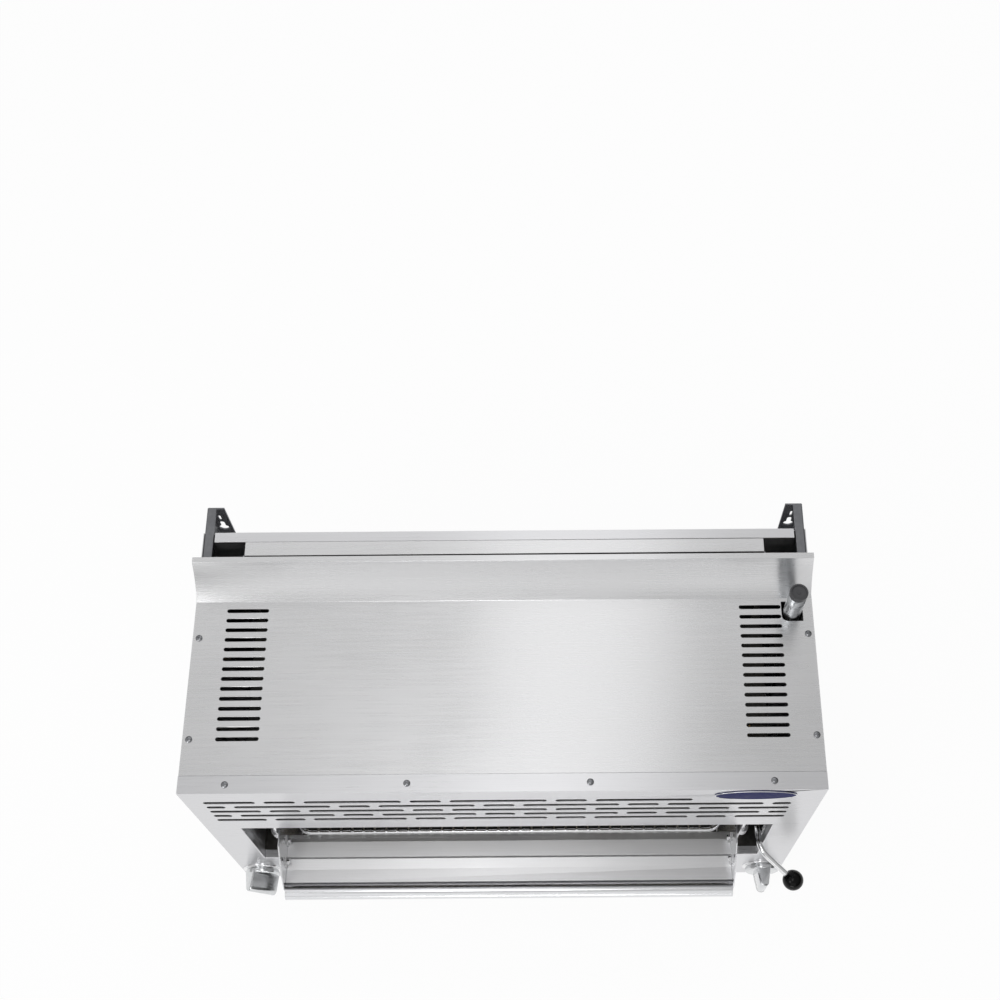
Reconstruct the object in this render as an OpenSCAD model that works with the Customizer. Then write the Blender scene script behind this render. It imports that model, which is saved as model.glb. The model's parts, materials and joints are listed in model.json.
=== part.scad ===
// Wall-mounted infrared gas salamander grill, 36 inch class.
// Millimetres. X to the right, Y to the back, Z up.
// The origin is the centre of the cabinet's underside.

/* [Cabinet] */
// Width over the side panels
cab_w = 914.4; // [900:0.1:940]
// Depth from the front face to the back of the rear panel
cab_d = 409; // [406:1:430]
// Height up to the top cover
cab_h = 508; // [495:1:540]
// Thickness of the cabinet sheet
sheet = 1.5; // [1.2:0.1:1.8]
// Width of the folded edges inside the cabinet
fold = 13; // [9:1:13]

/* [Top cover] */
// Depth of the front panel's top flange
flange_d = 26; // [22:1:32]
// How far the cover stays inside the cabinet's sides
cover_inset = 1; // [0.5:0.1:2]
// Seam between the front flange and the cover
seam = 0.5; // [0.3:0.1:1]
// Distance from the upstand's bend to the back of the rear panel
rear_room = 116; // [112:1:124]
// Height that the upstand rises
upstand_h = 49; // [40:1:60]
// Depth that the upstand leans back
upstand_d = 42.5; // [41:0.5:44]
// How far the curve of the upstand sinks below its chord
upstand_bow = 4; // [2:0.5:6]
// Depth of the lip at the top of the upstand
lip_d = 9; // [8:0.5:12]
// Length of a cooling slot
vent_l = 62; // [50:1:70]
// Width of a cooling slot
vent_w = 6; // [4:0.5:8]
// Distance from slot to slot
vent_pitch = 15.3; // [12:0.1:16]
// Slots in each row
vent_n = 14; // [8:1:15]
// Distance from the cabinet's side to the slots
vent_side = 47.5; // [42:0.5:55]
// Distance from the bend to the middle of the first slot
vent_back = 14; // [10:1:20]
// Diameter of a screw's shank
screw_d = 4; // [3:0.5:5]
// Diameter of a screw's round head
screw_head_d = 10; // [8:0.5:11]
// Height of a screw's round head
screw_head_h = 2.6; // [2:0.1:3.5]

/* [Front panel] */
// Width of the front panel beside the opening
open_side = 52.2; // [51:0.1:55]
// Height of the opening's lower edge above the underside
open_low = 130; // [126:1:136]
// Height of the opening
open_h = 189; // [185:1:196]
// Depth of the hem round the opening
hem_d = 14; // [8:1:16]
// Rows of louvre slots
louvre_rows = 5; // [3:1:5]
// Distance from row to row
louvre_pitch = 23; // [18:0.5:25]
// Height of a louvre slot
louvre_h = 11; // [6:0.5:12]
// Length of a long louvre slot
louvre_long = 139; // [120:1:150]
// Length of a short louvre slot
louvre_short = 45; // [35:1:60]
// Gap between two louvre slots
louvre_gap = 12.5; // [8:0.5:16]
// Distance from the top edge to the first row
louvre_drop = 47.5; // [44:0.5:52]
// Distance from the left side to the rows
louvre_left = 27; // [24:1:40]
// Distance from the right side to the rows
louvre_right = 42; // [36:1:50]
// Width of the blank oval badge
badge_w = 117; // [90:1:120]
// Height of the blank oval badge
badge_h = 40; // [30:1:42]
// Thickness of the blank oval badge
badge_t = 2; // [1:0.5:3]
// Distance from the right side to the middle of the badge
badge_side = 99; // [85:1:110]
// Distance from the top edge to the middle of the badge
badge_drop = 24; // [22:1:26]

/* [Wall rails] */
// Thickness of the rail steel
rail_t = 2.5; // [2:0.1:3]
// Distance from the upstand's bend to the start of the rails
rail_behind_bend = 7; // [3:1:20]
// Gap between the rear panel and the wall
wall_gap = 44; // [40:1:60]
// How far the rails end below the cabinet's top
rail_low = 2; // [1.6:0.1:6]
// Width of the rail's top flange
rail_flange = 14; // [10:1:18]
// Width of the flange that lies on the wall
wall_flange = 26; // [24:1:32]
// Diameter of a keyhole
key_d = 15; // [12:1:16]
// Width of a keyhole's neck
key_neck = 7; // [5:0.5:8]
// Height of a keyhole's neck above the hole's middle
key_rise = 16; // [13:1:20]
// Distance from the rail's top to the upper keyhole
key_drop = 61; // [50:1:75]
// Distance between the two keyholes of a rail
key_span = 380; // [350:1:390]

/* [Gas train] */
// Outer diameter of the gas pipe
pipe_d = 26.7; // [25:0.1:27.5]
// Bore of the gas pipe
pipe_bore = 20.8; // [18:0.1:22]
// Height of the inlet pipe above the top cover
inlet_h = 69; // [60:1:110]
// Diameter over the inlet pipe's thread
thread_d = 26.3; // [24.6:0.1:26.6]
// Length of the inlet pipe's thread
thread_l = 20; // [14:1:25]
// Distance from the cabinet's right side to the inlet pipe
inlet_side = 31; // [30:0.5:32]
// Distance from the inlet pipe to the upstand's bend
inlet_before_bend = 21; // [19:1:23]
// Size of the hole in the top cover for the inlet pipe
inlet_hole = 31; // [30:0.5:32]
// Thickness of the inlet plug's disc
plug_t = 8; // [5:1:12]
// How far the plug's spigot reaches into the pipe
plug_reach = 16; // [10:1:20]
// Distance from the front face to the manifold
manifold_back = 66; // [64:1:72]
// Distance from the cabinet's side to a gas valve
valve_side = 35.2; // [33.2:0.1:37.2]
// Height of the gas valves and the manifold
valve_z = 56; // [52:1:62]
// Diameter of a gas valve's body
valve_d = 26; // [22:1:28]
// Length of a gas valve's body
valve_l = 36; // [32:1:38]
// Diameter of a gas valve's stem
stem_d = 8; // [7:0.5:9]
// Outer diameter of a supply tube
tube_d = 9.5; // [8:0.5:11]
// Outer diameter of a pilot tube
pilot_tube_d = 6; // [5:0.5:7]

/* [Knobs] */
// Diameter of a bezel
bezel_d = 65; // [60:1:66]
// Thickness of a bezel
bezel_t = 4; // [3:0.5:6]
// Diameter of a knob's skirt
knob_d = 56; // [50:1:58]
// Thickness of a knob's skirt
skirt_t = 8; // [5:1:10]
// How far a knob stands out from the front panel
knob_l = 42; // [36:1:46]
// Width of a knob's grip at the skirt
grip_w = 26; // [20:1:28]
// Width of a knob's grip at its tip
grip_tip = 16; // [12:1:18]
// Turn of the left knob from upright in degrees
left_turn = 45; // [0:5:90]

/* [Burners] */
// Distance from a burner's side to the hem of the opening
burner_side = 51.5; // [49:0.5:60]
// Distance from the burners to the front wall of the flue
burner_rear_gap = 28; // [24:1:36]
// Height of a burner's housing
burner_h = 62; // [56:1:66]
// Distance from the front face to the burners
burner_front = 22; // [20:1:26]
// Distance from the middle to each burner
burner_mid = 15; // [12:1:20]
// Ledge round the tiles that the housing rests on
burner_ledge = 10; // [8:1:14]
// Thickness of a ceramic tile
tile_t = 13; // [11:0.5:15]
// Tiles across one burner
tile_nx = 3; // [2:1:4]
// Tiles from front to back
tile_ny = 3; // [2:1:4]
// Thickness of the screen under the tiles
screen_t = 3; // [2.5:0.5:4]
// Width of a bar of the screen
screen_bar = 2; // [1.5:0.5:3]
// Distance between two bars of the screen
screen_pitch = 28; // [22:1:36]
// Space above the burners up to the heat shield
shield_gap = 14; // [10:1:20]

/* [Lift] */
// Distance from the back of the rear panel to the lift shaft
shaft_room = 84; // [82:1:86]
// Height of the lift shaft
shaft_z = 190; // [186:1:194]
// Diameter of the lift shaft
shaft_d = 16; // [14:1:18]
// Running clearance of every shaft and pin, on the radius
fit_gap = 0.05; // [0.03:0.01:0.1]
// Distance from the front face to the lift rollers
roller_back = 105; // [100:1:112]
// Height of the lift rollers
roller_z = 222; // [218:1:224]
// Diameter of a lift roller
roller_d = 20; // [18:1:21]
// Clearance of a roller in its channel, above and below
roller_gap = 0.8; // [0.7:0.1:1.2]
// Thickness of a lift arm
arm_t = 5; // [4:0.5:5.5]
// Diameter of the lever rod
lever_d = 9.5; // [8:0.5:10]
// How far the lever turns up from its rest in degrees
lift_up_deg = 5.7; // [4:0.1:5.8]
// How far the lever turns down from its rest in degrees
lift_down_deg = 11.6; // [8:0.1:12]
// Height at which the lever passes the front
lever_z = 215; // [210:1:220]
// How far in front of the panel the lever bends
lever_out = 12; // [11:1:14]
// Distance of the ball in front of the panel
ball_out = 58; // [56:1:66]
// Distance of the ball from the plane of the cabinet's side
ball_side = 7.2; // [3:0.1:11]
// Height of the ball
ball_z = 196; // [192:1:202]
// Diameter of the ball
ball_d = 33; // [28:1:35]

/* [Rack] */
// Distance between a rack side plate and the carriage
rack_side_gap = 12; // [11:0.5:14]
// Height of the ledge
ledge_z = 215; // [213:1:217]
// Thickness of the rack and carriage sheet
rack_t = 2; // [1.6:0.1:2.2]
// Distance from the back of the rear panel to the rear of the rack
rack_room = 113; // [112:1:119]
// Depth of the ledge in front of the cabinet
ledge_out = 20; // [18:1:22]
// Gap between the ledge and the apron
ledge_slit = 2.5; // [1:0.5:3]
// Diameter of the tube along the front
nose_d = 25; // [22:1:26]
// Distance from the cabinet's front to the tube's middle
nose_out = 72; // [70:1:75]
// How far the tube's middle lies below the ledge
nose_drop = 12; // [10:1:14]
// Height of the side plates above the ledge
plate_rise = 72; // [60:1:75]
// Diameter of a grid rod
rod_d = 4; // [3:0.5:5]
// Distance from rod to rod in the grid
rod_pitch = 18.5; // [16:0.5:24]
// Diameter of the grid's border wire
border_d = 7; // [6:0.5:8]
// Distance from the front face to the grid's front
grid_front = 18; // [17:1:24]
// Diameter of a guide rod
guide_d = 12; // [10:1:13]
// Distance from the front face to the front guide rods
guide_front = 30; // [28:1:34]
// Distance from the back of the rear panel to the rear guide rods
guide_room = 127; // [125:1:129]
// Height of a guide bush
bush_h = 20; // [16:1:22]

/* [Drip tray] */
// How far the drip tray stays inside the rack's side plates
tray_side = 9; // [8:1:19]
// Distance from the back of the rear panel to the rear of the tray
tray_room = 104.7; // [95:0.1:134]
// Height of the drip tray
tray_h = 15; // [12:1:16]
// Thickness of the drip tray's sheet
tray_t = 1.2; // [1:0.1:1.5]
// Width of the tray's folded handle
tray_grip = 12; // [8:1:13]

/* [Hidden] */
$fn = 64;

// How far a cut runs past the face that it opens
cut = 1;
// Resting gap between pieces that slide on each other
slide_gap = 0.3;

// Faces of the cabinet
half_w = cab_w / 2;
front = -cab_d / 2;
rear = cab_d / 2;
inner_x = half_w - sheet;
cover_d = cab_d - rear_room;
open_w = cab_w - open_side * 2;
open_top = open_low + open_h;

// Cavity: the hem lies inside, and the floor, roof and liners lie against it
floor_top = open_low - sheet;
roof_low = open_top + sheet;
roof_top = roof_low + sheet;
liner_x = open_w / 2 + sheet;
liner_out = liner_x + sheet;
back_space = 39;
back_wall_y = rear - back_space;
flue_side = 65.2;
flue_w = cab_w - flue_side * 2;
flue_back = cover_d + upstand_d + lip_d / 2;
flue_front_y = front + flue_back;
cover_half = half_w - cover_inset;

// Points given by their distance behind the front face
function behind(d) = front + d;

// A row of points on a circle about c, from angle a to angle b
function arc_points(c, r, a, b, n) =
  [for (i = [0:n]) c + r * [cos(a + (b - a) * i / n), sin(a + (b - a) * i / n)]];

function reversed(list) = [for (i = [len(list) - 1:-1:0]) list[i]];

// Children drawn in X and Z, given thickness t from y towards the back
module upright(y, t) {
  translate([0, y + t, 0]) rotate([90, 0, 0]) linear_extrude(t) children();
}

// Children drawn in Y and Z, extruded along X from x to x + l
module along_x(x, l) {
  translate([x, 0, 0]) rotate([90, 0, 90]) linear_extrude(l) children();
}

// A block between two corners
module block(a, b) {
  translate(a) cube(b - a);
}

// Right-hand pieces are drawn as they are, and left-hand ones mirrored
module hand(side) {
  mirror([side < 0 ? 1 : 0, 0, 0]) children();
}

module both() {
  hand(1) children();
  hand(-1) children();
}

// A slot with round ends along the first axis
module slot(l, w) {
  square([l - w, w], center = true);
  for (s = [-1, 1]) translate([s * (l - w) / 2, 0]) circle(d = w);
}

// A cylinder along X, from x to x + l
module shaft_x(x, y, z, d, l) {
  translate([x, y, z]) rotate([0, 90, 0]) cylinder(d = d, h = l);
}

// A round rod from point a to point b
module rod(a, b, d) {
  v = b - a;
  l = norm(v);
  translate(a) rotate([0, acos(v.z / l), atan2(v.y, v.x)]) cylinder(d = d, h = l);
}

// A tube's outside along straight runs, with a ball a little wider at each bend
bend_swell = 0.4;
module bent_rod(points, d) {
  for (i = [1:len(points) - 1]) rod(points[i - 1], points[i], d);
  for (i = [1:len(points) - 2]) translate(points[i]) sphere(d = d + bend_swell);
}

// Base, side and rear panels
base_fold_start = fold + sheet * 2;
module base_panel() {
  color("silver") {
    block([-inner_x, behind(sheet), 0], [inner_x, rear - sheet, sheet]);
    both() block([inner_x - sheet, behind(base_fold_start), 0],
                 [inner_x, behind(rail_from) - sheet, fold]);
  }
}

side_fold_start = flange_d + seam * 2 + sheet;
side_screw_shares = [0.273, 0.805];
side_screw_backs = side_screw_shares * cover_d;
side_screw_in = 10;
module side_panel() {
  difference() {
    union() {
      block([inner_x, behind(sheet), 0], [half_w, rear, cab_h - sheet]);
      block([inner_x - fold, behind(side_fold_start), cab_h - sheet * 2],
            [half_w, behind(cover_d), cab_h - sheet]);
    }
    for (d = side_screw_backs)
      translate([half_w - side_screw_in, behind(d), cab_h - sheet * 2 - cut])
        cylinder(d = screw_d, h = sheet * 2 + cut);
    bolt_holes();
  }
}

module left_side_panel() {
  color("silver") hand(-1) side_panel();
}

module right_side_panel() {
  color("silver") hand(1) side_panel();
}

rear_half = inner_x - rail_t;
rear_flange = 16;
rear_hem = 25;
module rear_panel() {
  color("silver") {
    block([-rear_half, rear - sheet, 0], [rear_half, rear, cab_h - rail_low - rail_t - sheet]);
    block([-rear_half + rail_flange, rear - sheet, 0], [rear_half - rail_flange, rear, cab_h]);
    block([-rear_half + rail_flange, rear - rear_flange, cab_h - sheet],
          [rear_half - rail_flange, rear, cab_h]);
    block([-rear_half + rail_flange, rear - rear_flange, cab_h - rear_hem],
          [rear_half - rail_flange, rear - rear_flange + sheet, cab_h]);
  }
}

// Front panel: louvre rows are long and short slots in turn, cut off at both ends
louvre_period = louvre_long + louvre_short + louvre_gap * 2;
louvre_x0 = -half_w + louvre_left;
louvre_x1 = half_w - louvre_right;
louvre_badge_x = half_w - badge_side - badge_w / 2 - louvre_gap;
louvre_start = 4.5;
louvre_turns = ceil(cab_w / louvre_period);

module louvre_slot(x, l, z, limit) {
  a = max(x - l / 2, louvre_x0);
  b = min(x + l / 2, limit);
  if (b - a > louvre_h * 2) translate([(a + b) / 2, z]) slot(b - a, louvre_h);
}

module louvres() {
  for (row = [0:louvre_rows - 1], k = [0:louvre_turns]) {
    z = cab_h - louvre_drop - row * louvre_pitch;
    limit = row == 0 ? louvre_badge_x : louvre_x1;
    long_x = louvre_x0 + louvre_start + (k + (row % 2) / 2) * louvre_period;
    louvre_slot(long_x, louvre_long, z, limit);
    louvre_slot(long_x - louvre_period / 2, louvre_short, z, limit);
  }
}

front_screw_shares = [-0.427, -0.147, 0.135, 0.418];
stem_hole_gap = 2;
return_low = 30;
valve_x = half_w - valve_side;
module front_panel() {
  color("silver") difference() {
    union() {
      upright(front, sheet) difference() {
        translate([-half_w, 0]) square([cab_w, cab_h]);
        translate([-open_w / 2, open_low]) square([open_w, open_h]);
        louvres();
        both_flat() translate([valve_x, valve_z]) circle(d = stem_d + stem_hole_gap * 2);
      }
      block([-half_w, front, cab_h - sheet], [half_w, behind(flange_d), cab_h]);
      both() block([inner_x - sheet, front, return_low],
                   [inner_x, behind(fold), cab_h - sheet * 3]);
      hem();
    }
    for (s = front_screw_shares)
      translate([s * cab_w, behind(flange_d / 2), cab_h - sheet - cut])
        cylinder(d = screw_d, h = sheet + cut * 2);
  }
}

module both_flat() {
  children();
  mirror([1, 0]) children();
}

module hem() {
  upright(front, hem_d) difference() {
    translate([-open_w / 2 - sheet, open_low - sheet])
      square([open_w + sheet * 2, open_h + sheet * 2]);
    translate([-open_w / 2, open_low]) square([open_w, open_h]);
  }
}

// A shallow lens of an oval, worked out point by point
badge_steps = 48;
badge_rim = 4;
function oval_points(w, h) =
  [for (i = [0:badge_steps - 1])
    [w / 2 * cos(i * 360 / badge_steps), h / 2 * sin(i * 360 / badge_steps)]];

module badge_plate() {
  color("midnightblue") translate([half_w - badge_side, 0, cab_h - badge_drop]) {
    upright(front - badge_t / 2, badge_t / 2) polygon(oval_points(badge_w, badge_h));
    upright(front - badge_t, badge_t / 2) difference() {
      polygon(oval_points(badge_w, badge_h));
      polygon(oval_points(badge_w - badge_rim * 2, badge_h - badge_rim * 2));
    }
  }
}

// Top cover: joggled front edge, flat top, curved upstand and lip in one sheet
cover_front = flange_d + seam;
chord = norm([upstand_d, upstand_h]);
lean = atan2(upstand_h, upstand_d);
bow_r = chord * chord / (8 * upstand_bow) + upstand_bow / 2;
bow_half = asin(chord / 2 / bow_r);
bow_steps = 12;
bow_centre = [behind(cover_d), cab_h] + [upstand_d, upstand_h] / 2
  + [-sin(lean), cos(lean)] * (bow_r - upstand_bow);

module cover_profile() {
  upper = arc_points(bow_centre, bow_r, lean - 90 - bow_half, lean - 90 + bow_half, bow_steps);
  lower = arc_points(bow_centre, bow_r + sheet, lean - 90 - bow_half, lean - 90 + bow_half,
                     bow_steps);
  lip_y = behind(cover_d + upstand_d + lip_d);
  polygon(concat(
    [[behind(sheet + seam), cab_h - sheet * 2], [behind(sheet + seam), cab_h - sheet],
     [behind(cover_front), cab_h - sheet], [behind(cover_front), cab_h]],
    upper,
    [[lip_y, cab_h + upstand_h], [lip_y, cab_h + upstand_h - sheet],
     [behind(cover_d + upstand_d) + sheet, cab_h + upstand_h - sheet]],
    reversed([for (p = lower) if (p.y < cab_h + upstand_h - sheet && p.y > cab_h - sheet) p]),
    [[behind(cover_d), cab_h - sheet], [behind(cover_front + sheet), cab_h - sheet],
     [behind(cover_front + sheet), cab_h - sheet * 2]]));
}

inlet_back = cover_d - inlet_before_bend;
inlet_x = half_w - inlet_side;
inlet_y = behind(inlet_back);
hole_corner = 8;
module cover_holes() {
  for (i = [0:vent_n - 1])
    both_flat() translate([half_w - vent_side - vent_l / 2,
                           behind(cover_d - vent_back - i * vent_pitch)])
      slot(vent_l, vent_w);
  for (d = side_screw_backs)
    both_flat() translate([half_w - side_screw_in, behind(d)]) circle(d = screw_d);
  for (s = front_screw_shares)
    translate([s * cab_w, behind(flange_d / 2)]) circle(d = screw_d);
  translate([inlet_x - inlet_hole / 2, inlet_y - inlet_hole / 2]) {
    translate([hole_corner, 0]) square([inlet_hole - hole_corner, inlet_hole]);
    translate([0, hole_corner]) square([inlet_hole, inlet_hole - hole_corner]);
    translate([hole_corner, hole_corner]) circle(r = hole_corner);
  }
}

module top_cover() {
  color("gainsboro") difference() {
    along_x(-cover_half, cover_half * 2) cover_profile();
    both() block([inner_x - sheet - seam, front, cab_h - sheet * 2 - cut],
                 [half_w + cut, behind(cover_front + sheet * 2), cab_h - sheet]);
    translate([0, 0, cab_h - sheet * 2 - cut]) linear_extrude(sheet * 2 + cut * 2) cover_holes();
  }
}

// Screws: a shank with a low round head, drawn at the origin and pointing down
shank_l = 9;
module screw() {
  translate([0, 0, -shank_l]) cylinder(d = screw_d - fit_gap * 4, h = shank_l);
  intersection() {
    cylinder(d = screw_head_d, h = screw_head_h);
    translate([0, 0, screw_head_h - screw_head_d]) sphere(r = screw_head_d);
  }
}

module cover_screws() {
  color("whitesmoke") {
    for (d = side_screw_backs)
      both() translate([half_w - side_screw_in, behind(d), cab_h]) screw();
    for (s = front_screw_shares)
      translate([s * cab_w, behind(flange_d / 2), cab_h]) screw();
  }
}

// Inner back wall: it closes the cavity and goes on up as the rear of the flue
flue_flange = back_space - rear_flange - slide_gap;
module inner_back_wall() {
  color("silver") {
    block([-liner_x, back_wall_y, sheet], [liner_x, back_wall_y + sheet, roof_low]);
    block([-flue_w / 2, back_wall_y, sheet], [flue_w / 2, back_wall_y + sheet, cab_h]);
    block([-flue_w / 2, back_wall_y, cab_h - sheet],
          [flue_w / 2, back_wall_y + flue_flange, cab_h]);
  }
}

module flue_front_wall() {
  color("darkgray")
    block([-flue_w / 2, flue_front_y, roof_top],
          [flue_w / 2, flue_front_y + sheet, cab_h + upstand_h - sheet]);
}

module flue_end_plates() {
  color("gainsboro") both()
    block([flue_w / 2, flue_front_y, roof_top],
          [flue_w / 2 + sheet, back_wall_y, cab_h]);
}

// Wall rails with keyholes, bolted to the side panels
rail_from = cover_d + rail_behind_bend;
rail_to = cab_d + wall_gap;
rail_z1 = cab_h - rail_low;
rail_web_x = inner_x - rail_t;
bolt_d = 6;
bolt_head_d = 10;
bolt_head_h = 4;
bolt_head_sides = 6;
bolt_back_shares = [0.2, 0.6];
bolt_z_shares = [0.12, 0.85];

module bolt_places() {
  for (a = bolt_back_shares, b = bolt_z_shares)
    translate([inner_x, behind(rail_from + (cab_d - rail_from) * a), cab_h * b])
      rotate([0, 90, 0]) children();
}

module bolt_holes() {
  bolt_places() translate([0, 0, -rail_t - cut])
    cylinder(d = bolt_d + fit_gap * 2, h = rail_t + sheet + cut * 2);
}

module keyhole() {
  circle(d = key_d);
  translate([-key_neck / 2, 0]) square([key_neck, key_rise]);
  translate([0, key_rise]) circle(d = key_neck);
}

key_x = inner_x - wall_flange / 2;
key_z = rail_z1 - key_drop;
slot_rise_share = 0.52;
module wall_rail() {
  difference() {
    union() {
      block([rail_web_x, behind(rail_from), sheet], [inner_x, behind(rail_to), rail_z1]);
      block([inner_x - rail_flange, behind(rail_from), rail_z1 - rail_t],
            [inner_x, behind(rail_to), rail_z1]);
      block([inner_x - wall_flange, behind(rail_to) - rail_t, sheet],
            [inner_x, behind(rail_to), rail_z1]);
    }
    upright(behind(rail_to) - rail_t - cut, rail_t + cut * 2)
      for (z = [key_z, key_z - key_span]) translate([key_x, z]) keyhole();
    upright(behind(rail_to) - rail_t - cut, rail_t + cut * 2)
      translate([key_x, rail_z1 - key_drop * (1 - slot_rise_share)])
        rotate([0, 0, 90]) slot(key_rise, key_neck / 2);
    bolt_holes();
  }
}

module left_wall_rail() {
  color("dimgray") hand(-1) wall_rail();
}

module right_wall_rail() {
  color("dimgray") hand(1) wall_rail();
}

module rail_bolts() {
  color("darkgray") both() bolt_places() {
    translate([0, 0, -rail_t]) cylinder(d = bolt_d, h = rail_t + sheet);
    translate([0, 0, -rail_t - bolt_head_h])
      cylinder(d = bolt_head_d, h = bolt_head_h, $fn = bolt_head_sides);
  }
}

// Cavity: floor with tray runners, liners, and a roof with two burner windows
runner_w = 12;
module cavity_floor() {
  color("gray") {
    block([-liner_x, behind(sheet), floor_top - sheet], [liner_x, back_wall_y, floor_top]);
    both() block([tray_w / 2 - runner_w * 2, behind(hem_d + sheet), floor_top - sheet],
                 [tray_w / 2 - runner_w, back_wall_y - runner_w, floor_top + sheet]);
  }
}

pipe_gap = 2;
manifold_y = behind(manifold_back);
bearing_wall = 3;
bearing_neck_d = shaft_d + bearing_wall * 2;
shaft_back = cab_d - shaft_room;
shaft_y = behind(shaft_back);
module liner() {
  difference() {
    block([liner_x, behind(sheet), sheet], [liner_out, back_wall_y + sheet, roof_low]);
    shaft_x(liner_x - cut, manifold_y, valve_z, pipe_d + pipe_gap * 2, sheet + cut * 2);
    shaft_x(liner_x - cut, shaft_y, shaft_z, bearing_neck_d + fit_gap * 2, sheet + cut * 2);
  }
}

module left_liner() {
  color("gray") hand(-1) liner();
}

module right_liner() {
  color("gray") hand(1) liner();
}

burner_x1 = liner_x - burner_side;
burner_w = burner_x1 - burner_mid;
burner_d = flue_back - burner_rear_gap - burner_front;
burner_y0 = behind(burner_front);
burner_y1 = burner_y0 + burner_d;
window_in = sheet + burner_ledge;
pilot_side = 17;
pilot_back = 150;
pilot_x = burner_x1 + pilot_side;
pilot_y = behind(pilot_back);
pilot_d = 10;
module cavity_roof() {
  color("gray") difference() {
    union() {
      block([-liner_out, behind(sheet), roof_low], [liner_out, flue_front_y + sheet, roof_top]);
      both() block([flue_w / 2, behind(sheet), roof_low], [liner_out, back_wall_y, roof_top]);
    }
    both() block([burner_mid + window_in, burner_y0 + window_in, roof_low - cut],
                 [burner_x1 - window_in, burner_y1 - window_in, roof_top + cut]);
    both() translate([pilot_x, pilot_y, roof_low - cut])
      cylinder(d = pilot_d + fit_gap * 2, h = sheet + cut * 2);
  }
}

shield_z = roof_top + burner_h + shield_gap;
shield_y0 = burner_y0 - sheet * 4;
shield_y1 = burner_y1 + sheet * 4;
module heat_shield() {
  color("lightgray") {
    block([-burner_x1, shield_y0, shield_z - sheet], [burner_x1, shield_y1, shield_z]);
    block([-burner_x1, shield_y0, roof_top], [burner_x1, shield_y0 + sheet, shield_z]);
    block([-burner_x1, shield_y1 - sheet, roof_top], [burner_x1, shield_y1, shield_z]);
  }
}

// Burners: a housing over ceramic tiles that glow down through a screen
venturi_rise_share = 0.62;
venturi_back = 110;
venturi_z = roof_top + burner_h * venturi_rise_share;
venturi_y = behind(venturi_back);
venturi_out_d = 32;
module burner_housing() {
  difference() {
    block([burner_mid, burner_y0, roof_top], [burner_x1, burner_y1, roof_top + burner_h]);
    block([burner_mid + sheet, burner_y0 + sheet, roof_top - cut],
          [burner_x1 - sheet, burner_y1 - sheet, roof_top + burner_h - sheet]);
    shaft_x(burner_x1 - sheet - cut, venturi_y, venturi_z, venturi_out_d + fit_gap * 2,
            sheet + cut * 2);
  }
}

module left_burner_housing() {
  color("slategray") hand(-1) burner_housing();
}

module right_burner_housing() {
  color("slategray") hand(1) burner_housing();
}

tile_joint = 0.4;
tile_x0 = burner_mid + sheet + tile_joint;
tile_y0 = burner_y0 + sheet + tile_joint;
tile_w = (burner_w - sheet * 2 - tile_joint) / tile_nx;
tile_d = (burner_d - sheet * 2 - tile_joint) / tile_ny;
tile_z = roof_top + screen_t;
module burner_tiles() {
  for (i = [0:tile_nx - 1], j = [0:tile_ny - 1])
    translate([tile_x0 + i * tile_w, tile_y0 + j * tile_d, tile_z])
      cube([tile_w - tile_joint, tile_d - tile_joint, tile_t]);
}

module left_burner_tiles() {
  color("linen") hand(-1) burner_tiles();
}

module right_burner_tiles() {
  color("linen") hand(1) burner_tiles();
}

module burner_screen() {
  x0 = burner_mid + sheet + slide_gap;
  x1 = burner_x1 - sheet - slide_gap;
  y0 = burner_y0 + sheet + slide_gap;
  y1 = burner_y1 - sheet - slide_gap;
  nx = floor((x1 - x0) / screen_pitch);
  ny = floor((y1 - y0) / screen_pitch);
  difference() {
    block([x0, y0, roof_top], [x1, y1, tile_z]);
    block([x0 + burner_ledge, y0 + burner_ledge, roof_top - cut],
          [x1 - burner_ledge, y1 - burner_ledge, tile_z + cut]);
  }
  for (i = [1:nx - 1]) translate([x0 + i * (x1 - x0) / nx - screen_bar / 2, y0, roof_top])
    cube([screen_bar, y1 - y0, screen_t]);
  for (j = [1:ny - 1]) translate([x0, y0 + j * (y1 - y0) / ny - screen_bar / 2, roof_top])
    cube([x1 - x0, screen_bar, screen_t]);
}

module burner_screens() {
  color("dimgray") both() burner_screen();
}

// Venturi: bell mouth, throat and a straight end inside the housing
supply_side = 26;
tube_x = half_w - supply_side;
venturi_wall = 1.5;
venturi_mouth_d = 40;
venturi_throat_d = 24;
venturi_past = 6;
venturi_mouth_x = liner_out + venturi_past;
venturi_flare = 16;
venturi_cone = 20;
venturi_reach = 60;
module venturi() {
  outline = [[venturi_mouth_d / 2, venturi_mouth_x],
             [venturi_throat_d / 2, venturi_mouth_x - venturi_flare],
             [venturi_out_d / 2, venturi_mouth_x - venturi_flare - venturi_cone],
             [venturi_out_d / 2, burner_x1 - venturi_reach]];
  translate([0, venturi_y, venturi_z]) rotate([0, 90, 0]) rotate_extrude()
    polygon(concat(outline,
                   reversed([for (p = outline) p - [venturi_wall, 0]])));
}

module burner_venturis() {
  color("gray") both() venturi();
}

// Orifice: brass elbow on the supply tube, its nozzle inside the bell mouth
orifice_size = 16;
orifice_drop = 10;
nozzle_d = 9;
nozzle_tip_d = 5;
nozzle_l = 12;
module burner_orifices() {
  color("goldenrod") both() {
    translate([tube_x, venturi_y, venturi_z])
      block([-orifice_size / 2, -orifice_size / 2, -orifice_drop],
            [orifice_size / 2, orifice_size / 2, orifice_size / 2]);
    translate([tube_x - orifice_size / 2, venturi_y, venturi_z]) rotate([0, -90, 0])
      cylinder(d1 = nozzle_d, d2 = nozzle_tip_d, h = nozzle_l);
  }
}

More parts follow.
